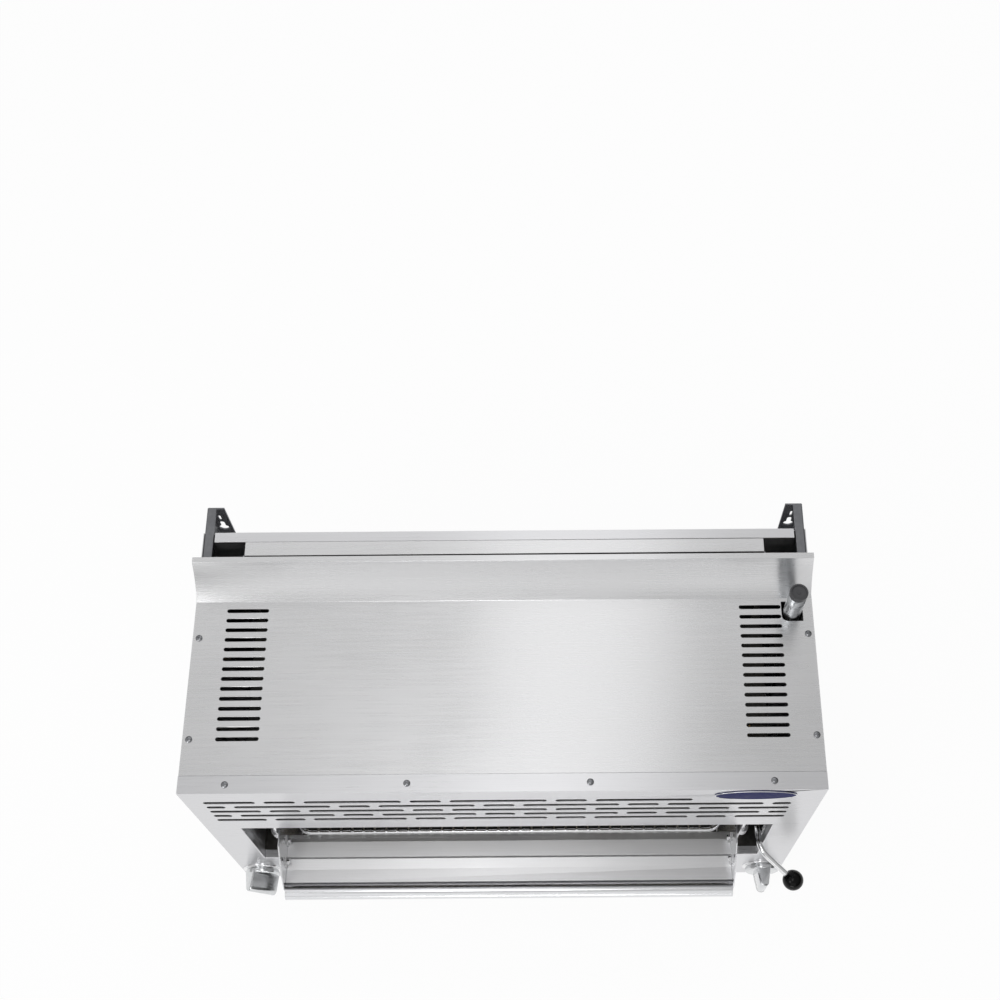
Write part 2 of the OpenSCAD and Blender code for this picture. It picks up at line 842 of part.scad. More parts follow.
// Gas pipes: inlet riser, elbow, feed to the front and manifold across
manifold_side_gap = 8;
manifold_half = inner_x - manifold_side_gap;
valve_port_d = 12;
valve_back = sheet + valve_l;
module gas_manifold() {
  color("dimgray") difference() {
    shaft_x(-manifold_half, manifold_y, valve_z, pipe_d, manifold_half * 2);
    shaft_x(-manifold_half + pipe_gap, manifold_y, valve_z, pipe_bore,
            manifold_half * 2 - pipe_gap * 2);
    both() translate([valve_x, manifold_y, valve_z]) rotate([90, 0, 0])
      cylinder(d = valve_port_d + fit_gap * 2, h = pipe_d);
    translate([inlet_x, manifold_y, valve_z]) rotate([-90, 0, 0])
      cylinder(d = pipe_bore, h = pipe_d);
  }
}

elbow_d = 34;
elbow_arm = 24;
elbow_socket = 8;
pipe_z0 = valve_z + elbow_arm - elbow_socket;
thread_z0 = cab_h + inlet_h - plug_t - thread_l;
module inlet_pipe() {
  color("lightgray") translate([inlet_x, inlet_y, 0]) difference() {
    union() {
      translate([0, 0, pipe_z0]) cylinder(d = pipe_d, h = thread_z0 - pipe_z0);
      translate([0, 0, thread_z0 - cut]) cylinder(d = thread_d, h = thread_l + cut);
    }
    cylinder(d = pipe_bore, h = cab_h + inlet_h);
  }
}

module inlet_elbow() {
  color("dimgray") translate([inlet_x, inlet_y, valve_z]) difference() {
    union() {
      sphere(d = elbow_d);
      cylinder(d = elbow_d - bend_swell, h = elbow_arm);
      rotate([90, 0, 0]) cylinder(d = elbow_d - bend_swell, h = elbow_arm);
    }
    for (turn = [[0, 0, 0], [90, 0, 0]]) rotate(turn) {
      cylinder(d = pipe_bore, h = elbow_arm + cut);
      translate([0, 0, elbow_arm - elbow_socket])
        cylinder(d = pipe_d + fit_gap * 2, h = elbow_socket + cut);
    }
  }
}

module feed_pipe() {
  color("dimgray") difference() {
    translate([inlet_x, inlet_y - elbow_arm + elbow_socket, valve_z]) rotate([90, 0, 0])
      difference() {
        cylinder(d = pipe_d, h = inlet_y - elbow_arm + elbow_socket - manifold_y);
        translate([0, 0, -cut]) cylinder(d = pipe_bore, h = cab_d);
      }
    shaft_x(inlet_x - pipe_d, manifold_y, valve_z, pipe_d + fit_gap * 2, pipe_d * 2);
  }
}

plug_gap = 0.3;
module inlet_plug() {
  color("black") translate([inlet_x, inlet_y, cab_h + inlet_h - plug_t]) {
    cylinder(d = pipe_d, h = plug_t);
    translate([0, 0, -plug_reach])
      cylinder(d = pipe_bore - plug_gap * 2, h = plug_reach + plug_t / 2);
  }
}

// Gas valves with their stems and knobs, drawn with Z pointing out of the front
module at_knob(side) {
  translate([side * valve_x, front, valve_z]) rotate([90, 0, 0]) children();
}

stem_in = 22;
boss_d = 14;
boss_h = 24;
boss_in = 24;
tail_in = 3;
module gas_valves() {
  tail_l = manifold_back - pipe_d / 2 - valve_back + tail_in;
  color("goldenrod") for (side = [-1, 1]) at_knob(side) difference() {
    union() {
      translate([0, 0, -valve_back]) cylinder(d = valve_d, h = valve_l);
      translate([0, 0, -valve_back - tail_l]) cylinder(d = valve_port_d, h = tail_l + cut);
      translate([0, 0, -sheet - boss_in]) rotate([-90, 0, 0]) cylinder(d = boss_d, h = boss_h);
    }
    translate([0, 0, -sheet - stem_in]) cylinder(d = stem_d + fit_gap * 2, h = stem_in + cut);
  }
}

stem_end_gap = 0.3;
stem_out = 24;
module valve_stem(side) {
  at_knob(side) translate([0, 0, -sheet - stem_in + stem_end_gap])
    cylinder(d = stem_d, h = sheet + stem_in - stem_end_gap + stem_out);
}

module left_valve_stem() {
  color("silver") valve_stem(-1);
}

module right_valve_stem() {
  color("silver") valve_stem(1);
}

bezel_bore = 12;
module knob_bezels() {
  color("whitesmoke") for (side = [-1, 1]) at_knob(side) rotate_extrude()
    polygon([[bezel_bore / 2, 0], [bezel_d / 2, 0], [bezel_d / 2, bezel_t / 2],
             [bezel_d / 2 - bezel_t, bezel_t], [bezel_bore / 2, bezel_t]]);
}

tip_r = grip_tip / 2;
module knob(side, turn) {
  base = bezel_t + slide_gap;
  at_knob(side) rotate([0, 0, turn]) difference() {
    union() {
      translate([0, 0, base]) cylinder(d = knob_d, h = skirt_t);
      intersection() {
        translate([0, 0, base]) cylinder(d = knob_d - skirt_t / 2, h = knob_l);
        rotate([90, 0, 0]) translate([0, 0, -knob_d / 2]) linear_extrude(knob_d) {
          polygon([[-grip_w / 2, base], [grip_w / 2, base], [tip_r, knob_l - tip_r],
                   [-tip_r, knob_l - tip_r]]);
          translate([0, knob_l - tip_r]) circle(r = tip_r);
        }
      }
    }
    translate([0, 0, base - cut])
      cylinder(d = stem_d + fit_gap * 2, h = stem_out - base + stem_end_gap + cut);
  }
}

module left_knob() {
  color("whitesmoke") knob(-1, left_turn);
}

module right_knob() {
  color("whitesmoke") knob(1, 0);
}

// Supply tubes from the valves up to the orifices, and the pilot lines
supply_bend_share = 0.6;
module supply_tubes() {
  y0 = behind(sheet + boss_in);
  color("lightgray") both()
    bent_rod([[valve_x, y0, valve_z + boss_h],
              [valve_x, y0, venturi_z * supply_bend_share],
              [tube_x, venturi_y, venturi_z - orifice_size * 2],
              [tube_x, venturi_y, venturi_z - orifice_drop]], tube_d);
}

pilot_low = 15;
pilot_h = 40;
pilot_nozzle_l = 14;
pilot_nozzle_d = 6;
pilot_flange_d = 16;
module pilot_burners() {
  color("goldenrod") both() translate([pilot_x, pilot_y, 0]) {
    translate([0, 0, roof_low - pilot_low]) cylinder(d = pilot_d, h = pilot_h);
    translate([0, 0, roof_top]) cylinder(d = pilot_flange_d, h = sheet);
    translate([0, 0, roof_low - pilot_low + pilot_nozzle_d])
      rotate([0, -90, 0]) cylinder(d = pilot_nozzle_d, h = pilot_nozzle_l);
  }
}

pilot_side_gap = 9;
pilot_run_share = 1.5;
pilot_line_x = inner_x - pilot_side_gap;
pilot_tap_x = valve_x + valve_d / 2;
module pilot_tubes() {
  z0 = roof_low - pilot_low + pilot_h;
  z1 = z0 + pilot_tube_d * 2;
  z2 = valve_z + pipe_d * pilot_run_share;
  color("orange") both()
    bent_rod([[pilot_x, pilot_y, z0], [pilot_x, pilot_y, z1], [pilot_line_x, pilot_y, z1],
              [pilot_line_x, pilot_y, z2], [pilot_tap_x, manifold_y, z2],
              [pilot_tap_x, manifold_y, valve_z + pipe_d / 2]], pilot_tube_d);
}

// Lift: shaft, arms and rollers carry the carriage, and the lever turns the shaft
bearing_flange_t = 4;
bearing_flange_d = 32;
bearing_out = 14;
shaft_half = liner_out + bearing_out - sheet;
hub_rim = 0.25;
hub_gap = 0.5;
hub_w = lever_d + hub_rim * 2;
hub_d = 26;
lever_x = liner_x - bearing_flange_t - hub_gap - hub_w / 2;
arm_gap = 2;
arm_x = lever_x - hub_w / 2 - arm_gap - arm_t;
bush_wall = 3.5;
bush_gap = 0.5;
bush_d = guide_d + bush_wall * 2;
guide_x = arm_x - bush_d / 2 - bush_gap;
roller_w = 13;
module shaft_bearings() {
  color("darkgoldenrod") both() difference() {
    union() {
      shaft_x(liner_x - bearing_flange_t, shaft_y, shaft_z, bearing_flange_d, bearing_flange_t);
      shaft_x(liner_x - bearing_flange_t, shaft_y, shaft_z, bearing_neck_d,
              bearing_flange_t + sheet + bearing_out);
    }
    shaft_x(liner_x - bearing_flange_t - cut, shaft_y, shaft_z, shaft_d + fit_gap * 2,
            bearing_flange_t + sheet + bearing_out + cut * 2);
  }
}

module lift_shaft() {
  color("silver") shaft_x(-shaft_half, shaft_y, shaft_z, shaft_d, shaft_half * 2);
}

arm_hub_d = 28;
arm_end_d = 22;
arm_edge_share = 0.45;
roller_pin_d = 10;
roller_y = behind(roller_back);
arm_l = norm([shaft_back - roller_back, roller_z - shaft_z]);
arm_tilt = atan2(roller_z - shaft_z, shaft_back - roller_back);
module lift_arms() {
  color("darkgray") both() difference() {
    union() {
      shaft_x(arm_x, shaft_y, shaft_z, arm_hub_d, arm_t);
      translate([0, shaft_y, shaft_z]) rotate([-arm_tilt, 0, 0]) along_x(arm_x, arm_t)
        polygon([[0, -arm_hub_d * arm_edge_share], [0, arm_hub_d * arm_edge_share],
                 [-arm_l, arm_end_d * arm_edge_share], [-arm_l, -arm_end_d * arm_edge_share]]);
      shaft_x(arm_x, roller_y, roller_z, arm_end_d, arm_t);
      shaft_x(arm_x - roller_w - slide_gap * 2, roller_y, roller_z, roller_pin_d,
              roller_w + slide_gap * 2 + arm_t);
    }
    shaft_x(arm_x - cut, shaft_y, shaft_z, shaft_d + fit_gap * 2, arm_t + cut * 2);
  }
}

module roller() {
  difference() {
    shaft_x(arm_x - roller_w - slide_gap, roller_y, roller_z, roller_d, roller_w);
    shaft_x(arm_x - roller_w - slide_gap - cut, roller_y, roller_z,
            roller_pin_d + fit_gap * 2, roller_w + cut * 2);
  }
}

module left_roller() {
  color("silver") hand(-1) roller();
}

module right_roller() {
  color("silver") hand(1) roller();
}

ball_x = half_w - ball_side;
ball_point = [ball_x, behind(-ball_out), ball_z];
lever_bend = [lever_x, behind(-lever_out), lever_z];
lever_start_share = 0.4;
lever_start = hub_d * lever_start_share;
ball_way = (ball_point - lever_bend) / norm(ball_point - lever_bend);
ball_grip = 8;
module lever_rod() {
  start = [lever_x, shaft_y, shaft_z];
  way = (lever_bend - start) / norm(lever_bend - start);
  color("whitesmoke") difference() {
    union() {
      shaft_x(lever_x - hub_w / 2, shaft_y, shaft_z, hub_d, hub_w);
      bent_rod([start + way * lever_start, lever_bend, ball_point + ball_way * ball_grip / 2],
               lever_d);
    }
    shaft_x(lever_x - hub_w, shaft_y, shaft_z, shaft_d + fit_gap * 2, hub_w * 2);
  }
}

module lever_ball() {
  color("black") difference() {
    translate(ball_point) sphere(d = ball_d);
    rod(ball_point - ball_way * ball_d, ball_point + ball_way * (ball_grip / 2 + slide_gap),
        lever_d + fit_gap * 2);
  }
}

// Quadrant: an arc with notches beside the lever, fixed to the right liner
quadrant_room = 3;
quadrant_w = 24;
quadrant_r1 = shaft_back - hem_d - quadrant_room;
quadrant_r0 = quadrant_r1 - quadrant_w;
quadrant_t = 2.5;
quadrant_up = 12;
quadrant_down = 14.5;
wedge_share = 1.2;
notch_n = 5;
notch_gap = 0.75;
notch_d = lever_d + notch_gap * 2;
module lever_quadrant() {
  mid = 180 - atan2(lever_z - shaft_z, shaft_back + lever_out);
  wedge_r = quadrant_r1 * wedge_share;
  color("whitesmoke") translate([0, shaft_y, shaft_z])
    along_x(liner_x - quadrant_t, quadrant_t) difference() {
      intersection() {
        circle(r = quadrant_r1, $fn = 180);
        polygon([[0, 0], wedge_r * [cos(mid - quadrant_up), sin(mid - quadrant_up)],
                 wedge_r * [cos(mid + quadrant_down), sin(mid + quadrant_down)]]);
      }
      circle(r = quadrant_r0, $fn = 180);
      for (i = [0:notch_n - 1]) {
        a = mid - lift_up_deg + i * (lift_up_deg + lift_down_deg) / (notch_n - 1);
        translate(quadrant_r1 * [cos(a), sin(a)]) circle(d = notch_d);
      }
    }
}

// Guide rods stand in the four corners of the cavity
guide_back = cab_d - guide_room;
module guide_places() {
  both() for (d = [guide_front, guide_back]) translate([guide_x, behind(d), 0]) children();
}

module guide_rods() {
  color("whitesmoke") guide_places() translate([0, 0, floor_top])
    cylinder(d = guide_d, h = roof_low - floor_top);
}

// Carriage: side plates with a runner channel inside and a roller channel outside
guide_side_gap = 1;
carriage_past = 4;
carriage_out = guide_x - guide_d / 2 - guide_side_gap;
carriage_in = carriage_out - rack_t;
rack_x = carriage_in - rack_side_gap;
rack_back = cab_d - rack_room;
carriage_y0 = behind(hem_d);
carriage_y1 = behind(rack_back + carriage_past);
bush_low = 178;
carriage_top = roller_z + roller_d / 2 + roller_gap + rack_t * 3;
runner_drop = 7.4;
runner_z = ledge_z - runner_drop;
runner_in = rack_x + slide_gap * 4;
channel_half = roller_d / 2 + roller_gap;
channel_y0 = roller_y - roller_d;
channel_y1 = roller_y + roller_d;
channel_out = arm_x - slide_gap * 4;
module carriage_side() {
  difference() {
    union() {
      block([carriage_in, carriage_y0, bush_low], [carriage_out, carriage_y1, carriage_top]);
      for (z = [runner_z - slide_gap - rack_t * 2, runner_z + slide_gap * 2])
        block([runner_in, carriage_y0, z], [carriage_out, carriage_y1, z + rack_t]);
      for (z = [roller_z - channel_half - rack_t, roller_z + channel_half])
        block([carriage_in, channel_y0, z], [channel_out, channel_y1, z + rack_t]);
      for (d = [guide_front, guide_back])
        translate([guide_x, behind(d), bush_low]) cylinder(d = bush_d, h = bush_h);
    }
    for (d = [guide_front, guide_back])
      translate([guide_x, behind(d), bush_low - cut])
        cylinder(d = guide_d + fit_gap * 2, h = bush_h + cut * 2);
  }
}

module left_carriage_side() {
  color("lightgray") hand(-1) carriage_side();
}

module right_carriage_side() {
  color("lightgray") hand(1) carriage_side();
}

tie_d = 8;
tie_z = runner_z - slide_gap - rack_t * 2 - tie_d / 2 - slide_gap;
tie_shares = [0.11, 0.9];
module carriage_ties() {
  color("lightgray") for (s = tie_shares)
    shaft_x(-carriage_in, carriage_y0 + s * (carriage_y1 - carriage_y0), tie_z, tie_d,
            carriage_in * 2);
}

// Rack: side plates that run in the carriage, ledge, apron, nose tube and grid
plate_in = rack_x - rack_t;
nose_y = behind(-nose_out);
nose_z = ledge_z - nose_drop;
plate_edge = 1.6;
plate_low = runner_z - rack_t - plate_edge;
slope_back = 58;
slope_rise_share = 0.38;
plate_rear_h = 20;
shelf_w = 20;
module rack_plate() {
  difference() {
    along_x(plate_in, rack_t) polygon([
      [behind(rack_back), plate_low], [behind(rack_back), plate_low + plate_rear_h],
      [behind(ledge_out * 3), plate_low + plate_rear_h],
      [behind(ledge_out), ledge_z + plate_rise], [behind(-ledge_out), ledge_z + plate_rise],
      [behind(-slope_back), ledge_z + plate_rise * slope_rise_share],
      [nose_y, nose_z + nose_d / 2], [nose_y, nose_z - nose_d / 2],
      [behind(-ledge_out), plate_low]]);
    for (d = rack_bolt_backs)
      shaft_x(plate_in - cut, behind(d), ledge_z + rack_bolt_up, rack_bolt_d + fit_gap * 2,
              rack_t + cut * 2);
  }
  block([plate_in, behind(hem_d), runner_z - rack_t],
        [carriage_in - slide_gap * 2, behind(rack_back), runner_z]);
  block([plate_in - shelf_w, behind(grid_front), plate_low],
        [plate_in + rack_t / 2, behind(rack_back), plate_low + rack_t]);
}

// An ear turned up at each end of a strip, where a bolt holds it to the side plate
ear_w = 14;
module ears(back) {
  both() difference() {
    block([plate_in - rack_t, behind(back) - ear_w / 2, ledge_z - ledge_step],
          [plate_in, behind(back) + ear_w / 2, ledge_z + rack_bolt_up + ear_w / 2]);
    shaft_x(plate_in - rack_t - cut, behind(back), ledge_z + rack_bolt_up,
            rack_bolt_d + fit_gap * 2, rack_t + cut * 2);
  }
}

module rack_left_plate() {
  color("gainsboro") hand(-1) rack_plate();
}

module rack_right_plate() {
  color("gainsboro") hand(1) rack_plate();
}

ledge_step = 5;
ledge_skirt = 8;
slit_skirt = 18;
module rack_ledge() {
  y0 = behind(-ledge_out);
  y1 = behind(hem_d / 3);
  y2 = behind(grid_front - slide_gap);
  color("gainsboro") {
    along_x(-plate_in, plate_in * 2) polygon([
      [y0, ledge_z - slit_skirt], [y0, ledge_z], [y1, ledge_z], [y2, ledge_z - ledge_step],
      [y2, ledge_z - ledge_skirt], [y2 - rack_t, ledge_z - ledge_skirt],
      [y2 - rack_t, ledge_z - ledge_step - rack_t / 2], [y1 - rack_t / 2, ledge_z - rack_t],
      [y0 + rack_t, ledge_z - rack_t], [y0 + rack_t, ledge_z - slit_skirt]]);
    ears(ledge_bolt_back);
  }
}

apron_slope = 17;
apron_step = 3;
module rack_apron() {
  y0 = behind(-ledge_out - ledge_slit);
  y1 = y0 - apron_slope;
  y2 = nose_y + nose_d / 2;
  color("gainsboro") {
    along_x(-plate_in, plate_in * 2) polygon([
      [y0, ledge_z - slit_skirt], [y0, ledge_z - slide_gap], [y1, ledge_z - apron_step],
      [y2, ledge_z - apron_step], [y2, nose_z],
      [y2 + rack_t, nose_z], [y2 + rack_t, ledge_z - apron_step - rack_t],
      [y1, ledge_z - apron_step - rack_t], [y0 - rack_t, ledge_z - rack_t - slide_gap],
      [y0 - rack_t, ledge_z - slit_skirt]]);
    ears(-apron_bolt_out);
  }
}

nose_wall = 1.5;
module rack_nose_tube() {
  color("whitesmoke") difference() {
    shaft_x(-plate_in, nose_y, nose_z, nose_d, plate_in * 2);
    shaft_x(-plate_in - cut, nose_y, nose_z, nose_d - nose_wall * 2, plate_in * 2 + cut * 2);
  }
}

// Grid: rods from front to back on a border wire, with cross rods under them
bar_sides = 8;
grid_side = 15;
grid_half = plate_in - grid_side;
grid_z = plate_low + rack_t + slide_gap + border_d / 2;
grid_y0 = behind(grid_front) + border_d / 2;
grid_y1 = behind(rack_back) - border_d;
rod_n = floor(grid_half * 2 / rod_pitch);
cross_shares = [0.03, 0.35, 0.68];
rod_sink = 0.4;
module bar(a, b, d) {
  v = b - a;
  translate(a) rotate([0, 90, atan2(v.y, v.x)]) rotate([0, 0, 180 / bar_sides])
    cylinder(d = d, h = norm(v), $fn = bar_sides);
}

corner_r = 14;
module rack_grid() {
  rod_z = grid_z + border_d / 2 - rod_sink * 2;
  corners = [[-grid_half, grid_y0, grid_z], [grid_half, grid_y0, grid_z],
             [grid_half, grid_y1, grid_z], [-grid_half, grid_y1, grid_z]];
  color("whitesmoke") {
    for (i = [0:3]) {
      a = corners[i];
      b = corners[(i + 1) % 4];
      c = corners[(i + 2) % 4];
      along = (b - a) / norm(b - a);
      next = (c - b) / norm(c - b);
      bar(a + along * corner_r, b - along * corner_r, border_d);
      bar(b - along * corner_r - along * rod_sink, b + next * corner_r + next * rod_sink,
          border_d);
    }
    for (i = [0:rod_n]) {
      x = -grid_half + corner_r + i * (grid_half - corner_r) * 2 / rod_n;
      bar([x, grid_y0, rod_z], [x, grid_y1, rod_z], rod_d);
    }
    for (s = cross_shares) {
      y = grid_y0 + (grid_y1 - grid_y0) * s + border_d;
      z = rod_z - rod_d + rod_sink;
      bar([-grid_half, y, z], [grid_half, y, z], rod_d);
    }
  }
}

// Bolts that hold the ledge and apron to the side plates
rack_bolt_d = 6;
rack_nut_d = 9;
rack_nut_h = 5;
rack_head_h = 2.5;
ledge_bolt_back = 4;
apron_bolt_out = 30;
rack_bolt_backs = [ledge_bolt_back, -apron_bolt_out];
rack_bolt_up = 12;
nut_x = plate_in - rack_t;
module rack_bolts() {
  color("whitesmoke") both() for (d = rack_bolt_backs) {
    z = ledge_z + rack_bolt_up;
    shaft_x(nut_x - rack_nut_h, behind(d), z, rack_bolt_d, rack_nut_h + rack_t * 2 + rack_head_h);
    shaft_x(rack_x, behind(d), z, rack_nut_d, rack_head_h);
    translate([nut_x, behind(d), z]) rotate([0, -90, 0])
      cylinder(d = rack_nut_d, h = rack_nut_h, $fn = bolt_head_sides);
  }
}

// Drip tray on the cavity floor, drawn out over the opening's lower edge
tray_w = (rack_x - tray_side) * 2;
module drip_tray() {
  z0 = open_low + slide_gap;
  y0 = behind(hem_d + slide_gap);
  y1 = rear - tray_room;
  color("silver") {
    difference() {
      block([-tray_w / 2, y0, z0], [tray_w / 2, y1, z0 + tray_h]);
      block([-tray_w / 2 + tray_t, y0 + tray_t, z0 + tray_t],
            [tray_w / 2 - tray_t, y1 - tray_t, z0 + tray_h + cut]);
    }
    block([-tray_w / 4, y0 - tray_grip, z0 + tray_h - tray_t],
          [tray_w / 4, y0 + tray_t, z0 + tray_h]);
  }
}

base_panel();
left_side_panel();
right_side_panel();
rear_panel();
front_panel();
top_cover();
inner_back_wall();
flue_front_wall();
flue_end_plates();
left_wall_rail();
right_wall_rail();
rail_bolts();
cover_screws();
badge_plate();
cavity_floor();
left_liner();
right_liner();
cavity_roof();
heat_shield();
left_burner_housing();
right_burner_housing();
left_burner_tiles();
right_burner_tiles();
burner_screens();
burner_venturis();
burner_orifices();
gas_manifold();
inlet_pipe();
inlet_elbow();
feed_pipe();
inlet_plug();
gas_valves();
supply_tubes();
pilot_burners();
pilot_tubes();
knob_bezels();
left_valve_stem();
left_knob();
right_valve_stem();
right_knob();
guide_rods();
shaft_bearings();
lever_quadrant();
lift_shaft();
lift_arms();
left_roller();
right_roller();
lever_rod();
lever_ball();
left_carriage_side();
right_carriage_side();
carriage_ties();
rack_left_plate();
rack_right_plate();
rack_ledge();
rack_apron();
rack_nose_tube();
rack_grid();
rack_bolts();
drip_tray();
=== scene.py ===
"""A wall-mounted gas salamander grill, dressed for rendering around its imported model."""
import json
import math

import bmesh
import bpy
from mathutils import Matrix, Vector


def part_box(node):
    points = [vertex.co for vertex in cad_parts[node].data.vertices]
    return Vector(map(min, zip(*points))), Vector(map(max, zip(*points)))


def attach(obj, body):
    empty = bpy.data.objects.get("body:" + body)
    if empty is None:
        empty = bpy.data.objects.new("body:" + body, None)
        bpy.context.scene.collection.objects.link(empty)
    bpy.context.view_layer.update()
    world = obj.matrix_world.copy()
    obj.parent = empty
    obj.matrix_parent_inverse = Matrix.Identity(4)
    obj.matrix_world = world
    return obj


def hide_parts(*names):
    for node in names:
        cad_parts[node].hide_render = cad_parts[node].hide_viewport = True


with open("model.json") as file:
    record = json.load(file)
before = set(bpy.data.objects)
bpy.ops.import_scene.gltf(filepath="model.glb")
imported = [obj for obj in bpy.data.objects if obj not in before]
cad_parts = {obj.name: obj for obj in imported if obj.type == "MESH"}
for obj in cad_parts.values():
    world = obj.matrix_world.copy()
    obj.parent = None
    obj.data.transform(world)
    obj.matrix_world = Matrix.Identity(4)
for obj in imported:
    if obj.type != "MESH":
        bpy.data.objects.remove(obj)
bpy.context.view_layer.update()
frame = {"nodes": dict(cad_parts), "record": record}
NODES = frame["nodes"]
RECORD = frame["record"]
MM = 0.001

SLOT_OF = {s["node"]: s["material_slot"] for s in RECORD["subparts"]}
BODY_OF = {n: b for b, nodes in RECORD["behaviour"]["bodies"].items() for n in nodes}


# The camera, as fitted to the photograph
CAMERA_PLACE = Vector((74.9, -757.5, 2415.3)) * MM
CAMERA_PITCH = math.radians(66.08)
CAMERA_ROLL = math.radians(-0.44)
LENS_MM = 50.58
SENSOR_MM = 36
SHIFT_X = -0.0544
SHIFT_Y = 0.1
VIEW_END = 50


def make_camera():
    forward = Vector((0, math.cos(CAMERA_PITCH), -math.sin(CAMERA_PITCH)))
    level_up = Vector((0, math.sin(CAMERA_PITCH), math.cos(CAMERA_PITCH)))
    level_right = Vector((1, 0, 0))
    right = level_right * math.cos(CAMERA_ROLL) + level_up * math.sin(CAMERA_ROLL)
    up = level_up * math.cos(CAMERA_ROLL) - level_right * math.sin(CAMERA_ROLL)
    data = bpy.data.cameras.new("camera")
    data.lens = LENS_MM
    data.sensor_width = SENSOR_MM
    data.shift_x = SHIFT_X
    data.shift_y = SHIFT_Y
    data.clip_end = VIEW_END
    camera = bpy.data.objects.new("camera", data)
    bpy.context.scene.collection.objects.link(camera)
    turn = Matrix((right, up, -forward)).transposed().to_4x4()
    camera.matrix_world = Matrix.Translation(CAMERA_PLACE) @ turn
    bpy.context.scene.camera = camera


# Materials

def linear(colour):
    """An sRGB hex colour as linear red, green, blue and alpha."""
    parts = [int(colour[i:i + 2], 16) / 255 for i in (0, 2, 4)]
    return tuple(p / 12.92 if p <= 0.04045 else ((p + 0.055) / 1.055) ** 2.4 for p in parts) + (1,)


def add(tree, kind, settings=None, links=None):
    """Adds a node: settings are its properties or its inputs' values, links feed its inputs."""
    node = tree.nodes.new(kind)
    for key, value in (settings or {}).items():
        if isinstance(key, str) and hasattr(node, key):
            setattr(node, key, value)
        else:
            node.inputs[key].default_value = value
    for key, socket in (links or {}).items():
        tree.links.new(socket, node.inputs[key])
    return node


def new_material(name):
    """An empty material, its tree, and its Object coordinates in metres."""
    material = bpy.data.materials.new(name)
    material.use_nodes = True
    tree = material.node_tree
    tree.nodes.clear()
    place = add(tree, "ShaderNodeTexCoord").outputs["Object"]
    return material, tree, place


def finish_material(tree, shader):
    add(tree, "ShaderNodeOutputMaterial", links={"Surface": shader.outputs[0]})


def surface(material, tree, settings, links):
    """Gives a material its surface shader and returns the material."""
    finish_material(tree, add(tree, "ShaderNodeBsdfPrincipled", settings, links))
    return material


def stretched(tree, place, size_mm):
    """Coordinates in which a pattern's cell is size_mm long on each axis."""
    scale = [1 / (s * MM) for s in size_mm]
    return add(tree, "ShaderNodeMapping", {"Scale": scale}, {"Vector": place}).outputs[0]


def noise(tree, vector, detail=2.0):
    return add(tree, "ShaderNodeTexNoise", {"Scale": 1.0, "Detail": detail},
               {"Vector": vector}).outputs["Fac"]


def cells(tree, vector, output):
    return add(tree, "ShaderNodeTexVoronoi", {"Scale": 1.0}, {"Vector": vector}).outputs[output]


def spread(tree, value, low, high, start=0.3, end=0.7):
    """Maps a noise value to the range from low to high."""
    return add(tree, "ShaderNodeMapRange", {"From Min": start, "From Max": end, "To Min": low,
                                            "To Max": high}, {"Value": value}).outputs[0]


def layered(tree, fine, coarse, share):
    """A fine pattern over a share of a coarse one."""
    return add(tree, "ShaderNodeMath", {"operation": "MULTIPLY_ADD", 1: 1 - share},
               {0: fine, 2: spread(tree, coarse, 0.0, share)}).outputs[0]


def bumps(tree, height, strength, deep_mm=0.1):
    """Bumps that follow a pattern, as a surface normal."""
    return add(tree, "ShaderNodeBump", {"Strength": strength, "Distance": deep_mm * MM},
               {"Height": height}).outputs[0]


def blend_colours(tree, factor, colour_a, colour_b):
    return add(tree, "ShaderNodeMix", {"data_type": "RGBA", 6: linear(colour_a),
                                       7: linear(colour_b)}, {0: factor}).outputs[2]


def stained(tree, factor, plain, stain):
    """A colour from the tree that turns to a fixed one where the factor is high."""
    return add(tree, "ShaderNodeMix", {"data_type": "RGBA", 7: linear(stain)},
               {0: factor, 6: plain}).outputs[2]


# The grain of a number 4 finish is about 0.1 mm wide. It is drawn at 1.2 mm so that it shows.
GRAIN_LONG = 90
GRAIN_WIDE = 1.2
ALONG = {"x": (GRAIN_LONG, GRAIN_WIDE, GRAIN_WIDE),
         "y": (GRAIN_WIDE, GRAIN_LONG, GRAIN_WIDE),
         "z": (GRAIN_WIDE, GRAIN_WIDE, GRAIN_LONG)}
CLOUD = (170, 170, 170)
ROUGH_BAND = 0.03


def brushed_stainless(name, dark, light, roughness, along="x", bump=0.05):
    """Stainless sheet, belt-ground: long fine lines that stretch each reflection across them."""
    material, tree, place = new_material(name)
    lines = noise(tree, stretched(tree, place, ALONG[along]), 3.0)
    both = layered(tree, lines, noise(tree, stretched(tree, place, CLOUD)), 0.25)
    across = add(tree, "ShaderNodeTangent", {"direction_type": "RADIAL", "axis": along.upper()})
    rough = spread(tree, both, roughness - ROUGH_BAND, roughness + ROUGH_BAND)
    return surface(material, tree, {"Metallic": 1.0, "Anisotropic": 0.75},
                   {"Base Color": blend_colours(tree, both, dark, light), "Roughness": rough,
                    "Normal": bumps(tree, lines, bump), "Tangent": across.outputs[0]})


def polished_stainless():
    """Bright rolled stainless: a clear reflection that the sheet's slight waves distort."""
    material, tree, place = new_material("polished stainless")
    waves = noise(tree, stretched(tree, place, (180, 45, 45)))
    lines = noise(tree, stretched(tree, place, ALONG["x"]), 2.0)
    height = add(tree, "ShaderNodeBump", {"Strength": 0.05, "Distance": 0.05 * MM},
                 {"Height": lines, "Normal": bumps(tree, waves, 0.25, 0.8)}).outputs[0]
    return surface(material, tree, {"Metallic": 1.0},
                   {"Base Color": blend_colours(tree, lines, "d2d3d5", "e8e8ea"),
                    "Roughness": spread(tree, lines, 0.18, 0.24), "Normal": height})


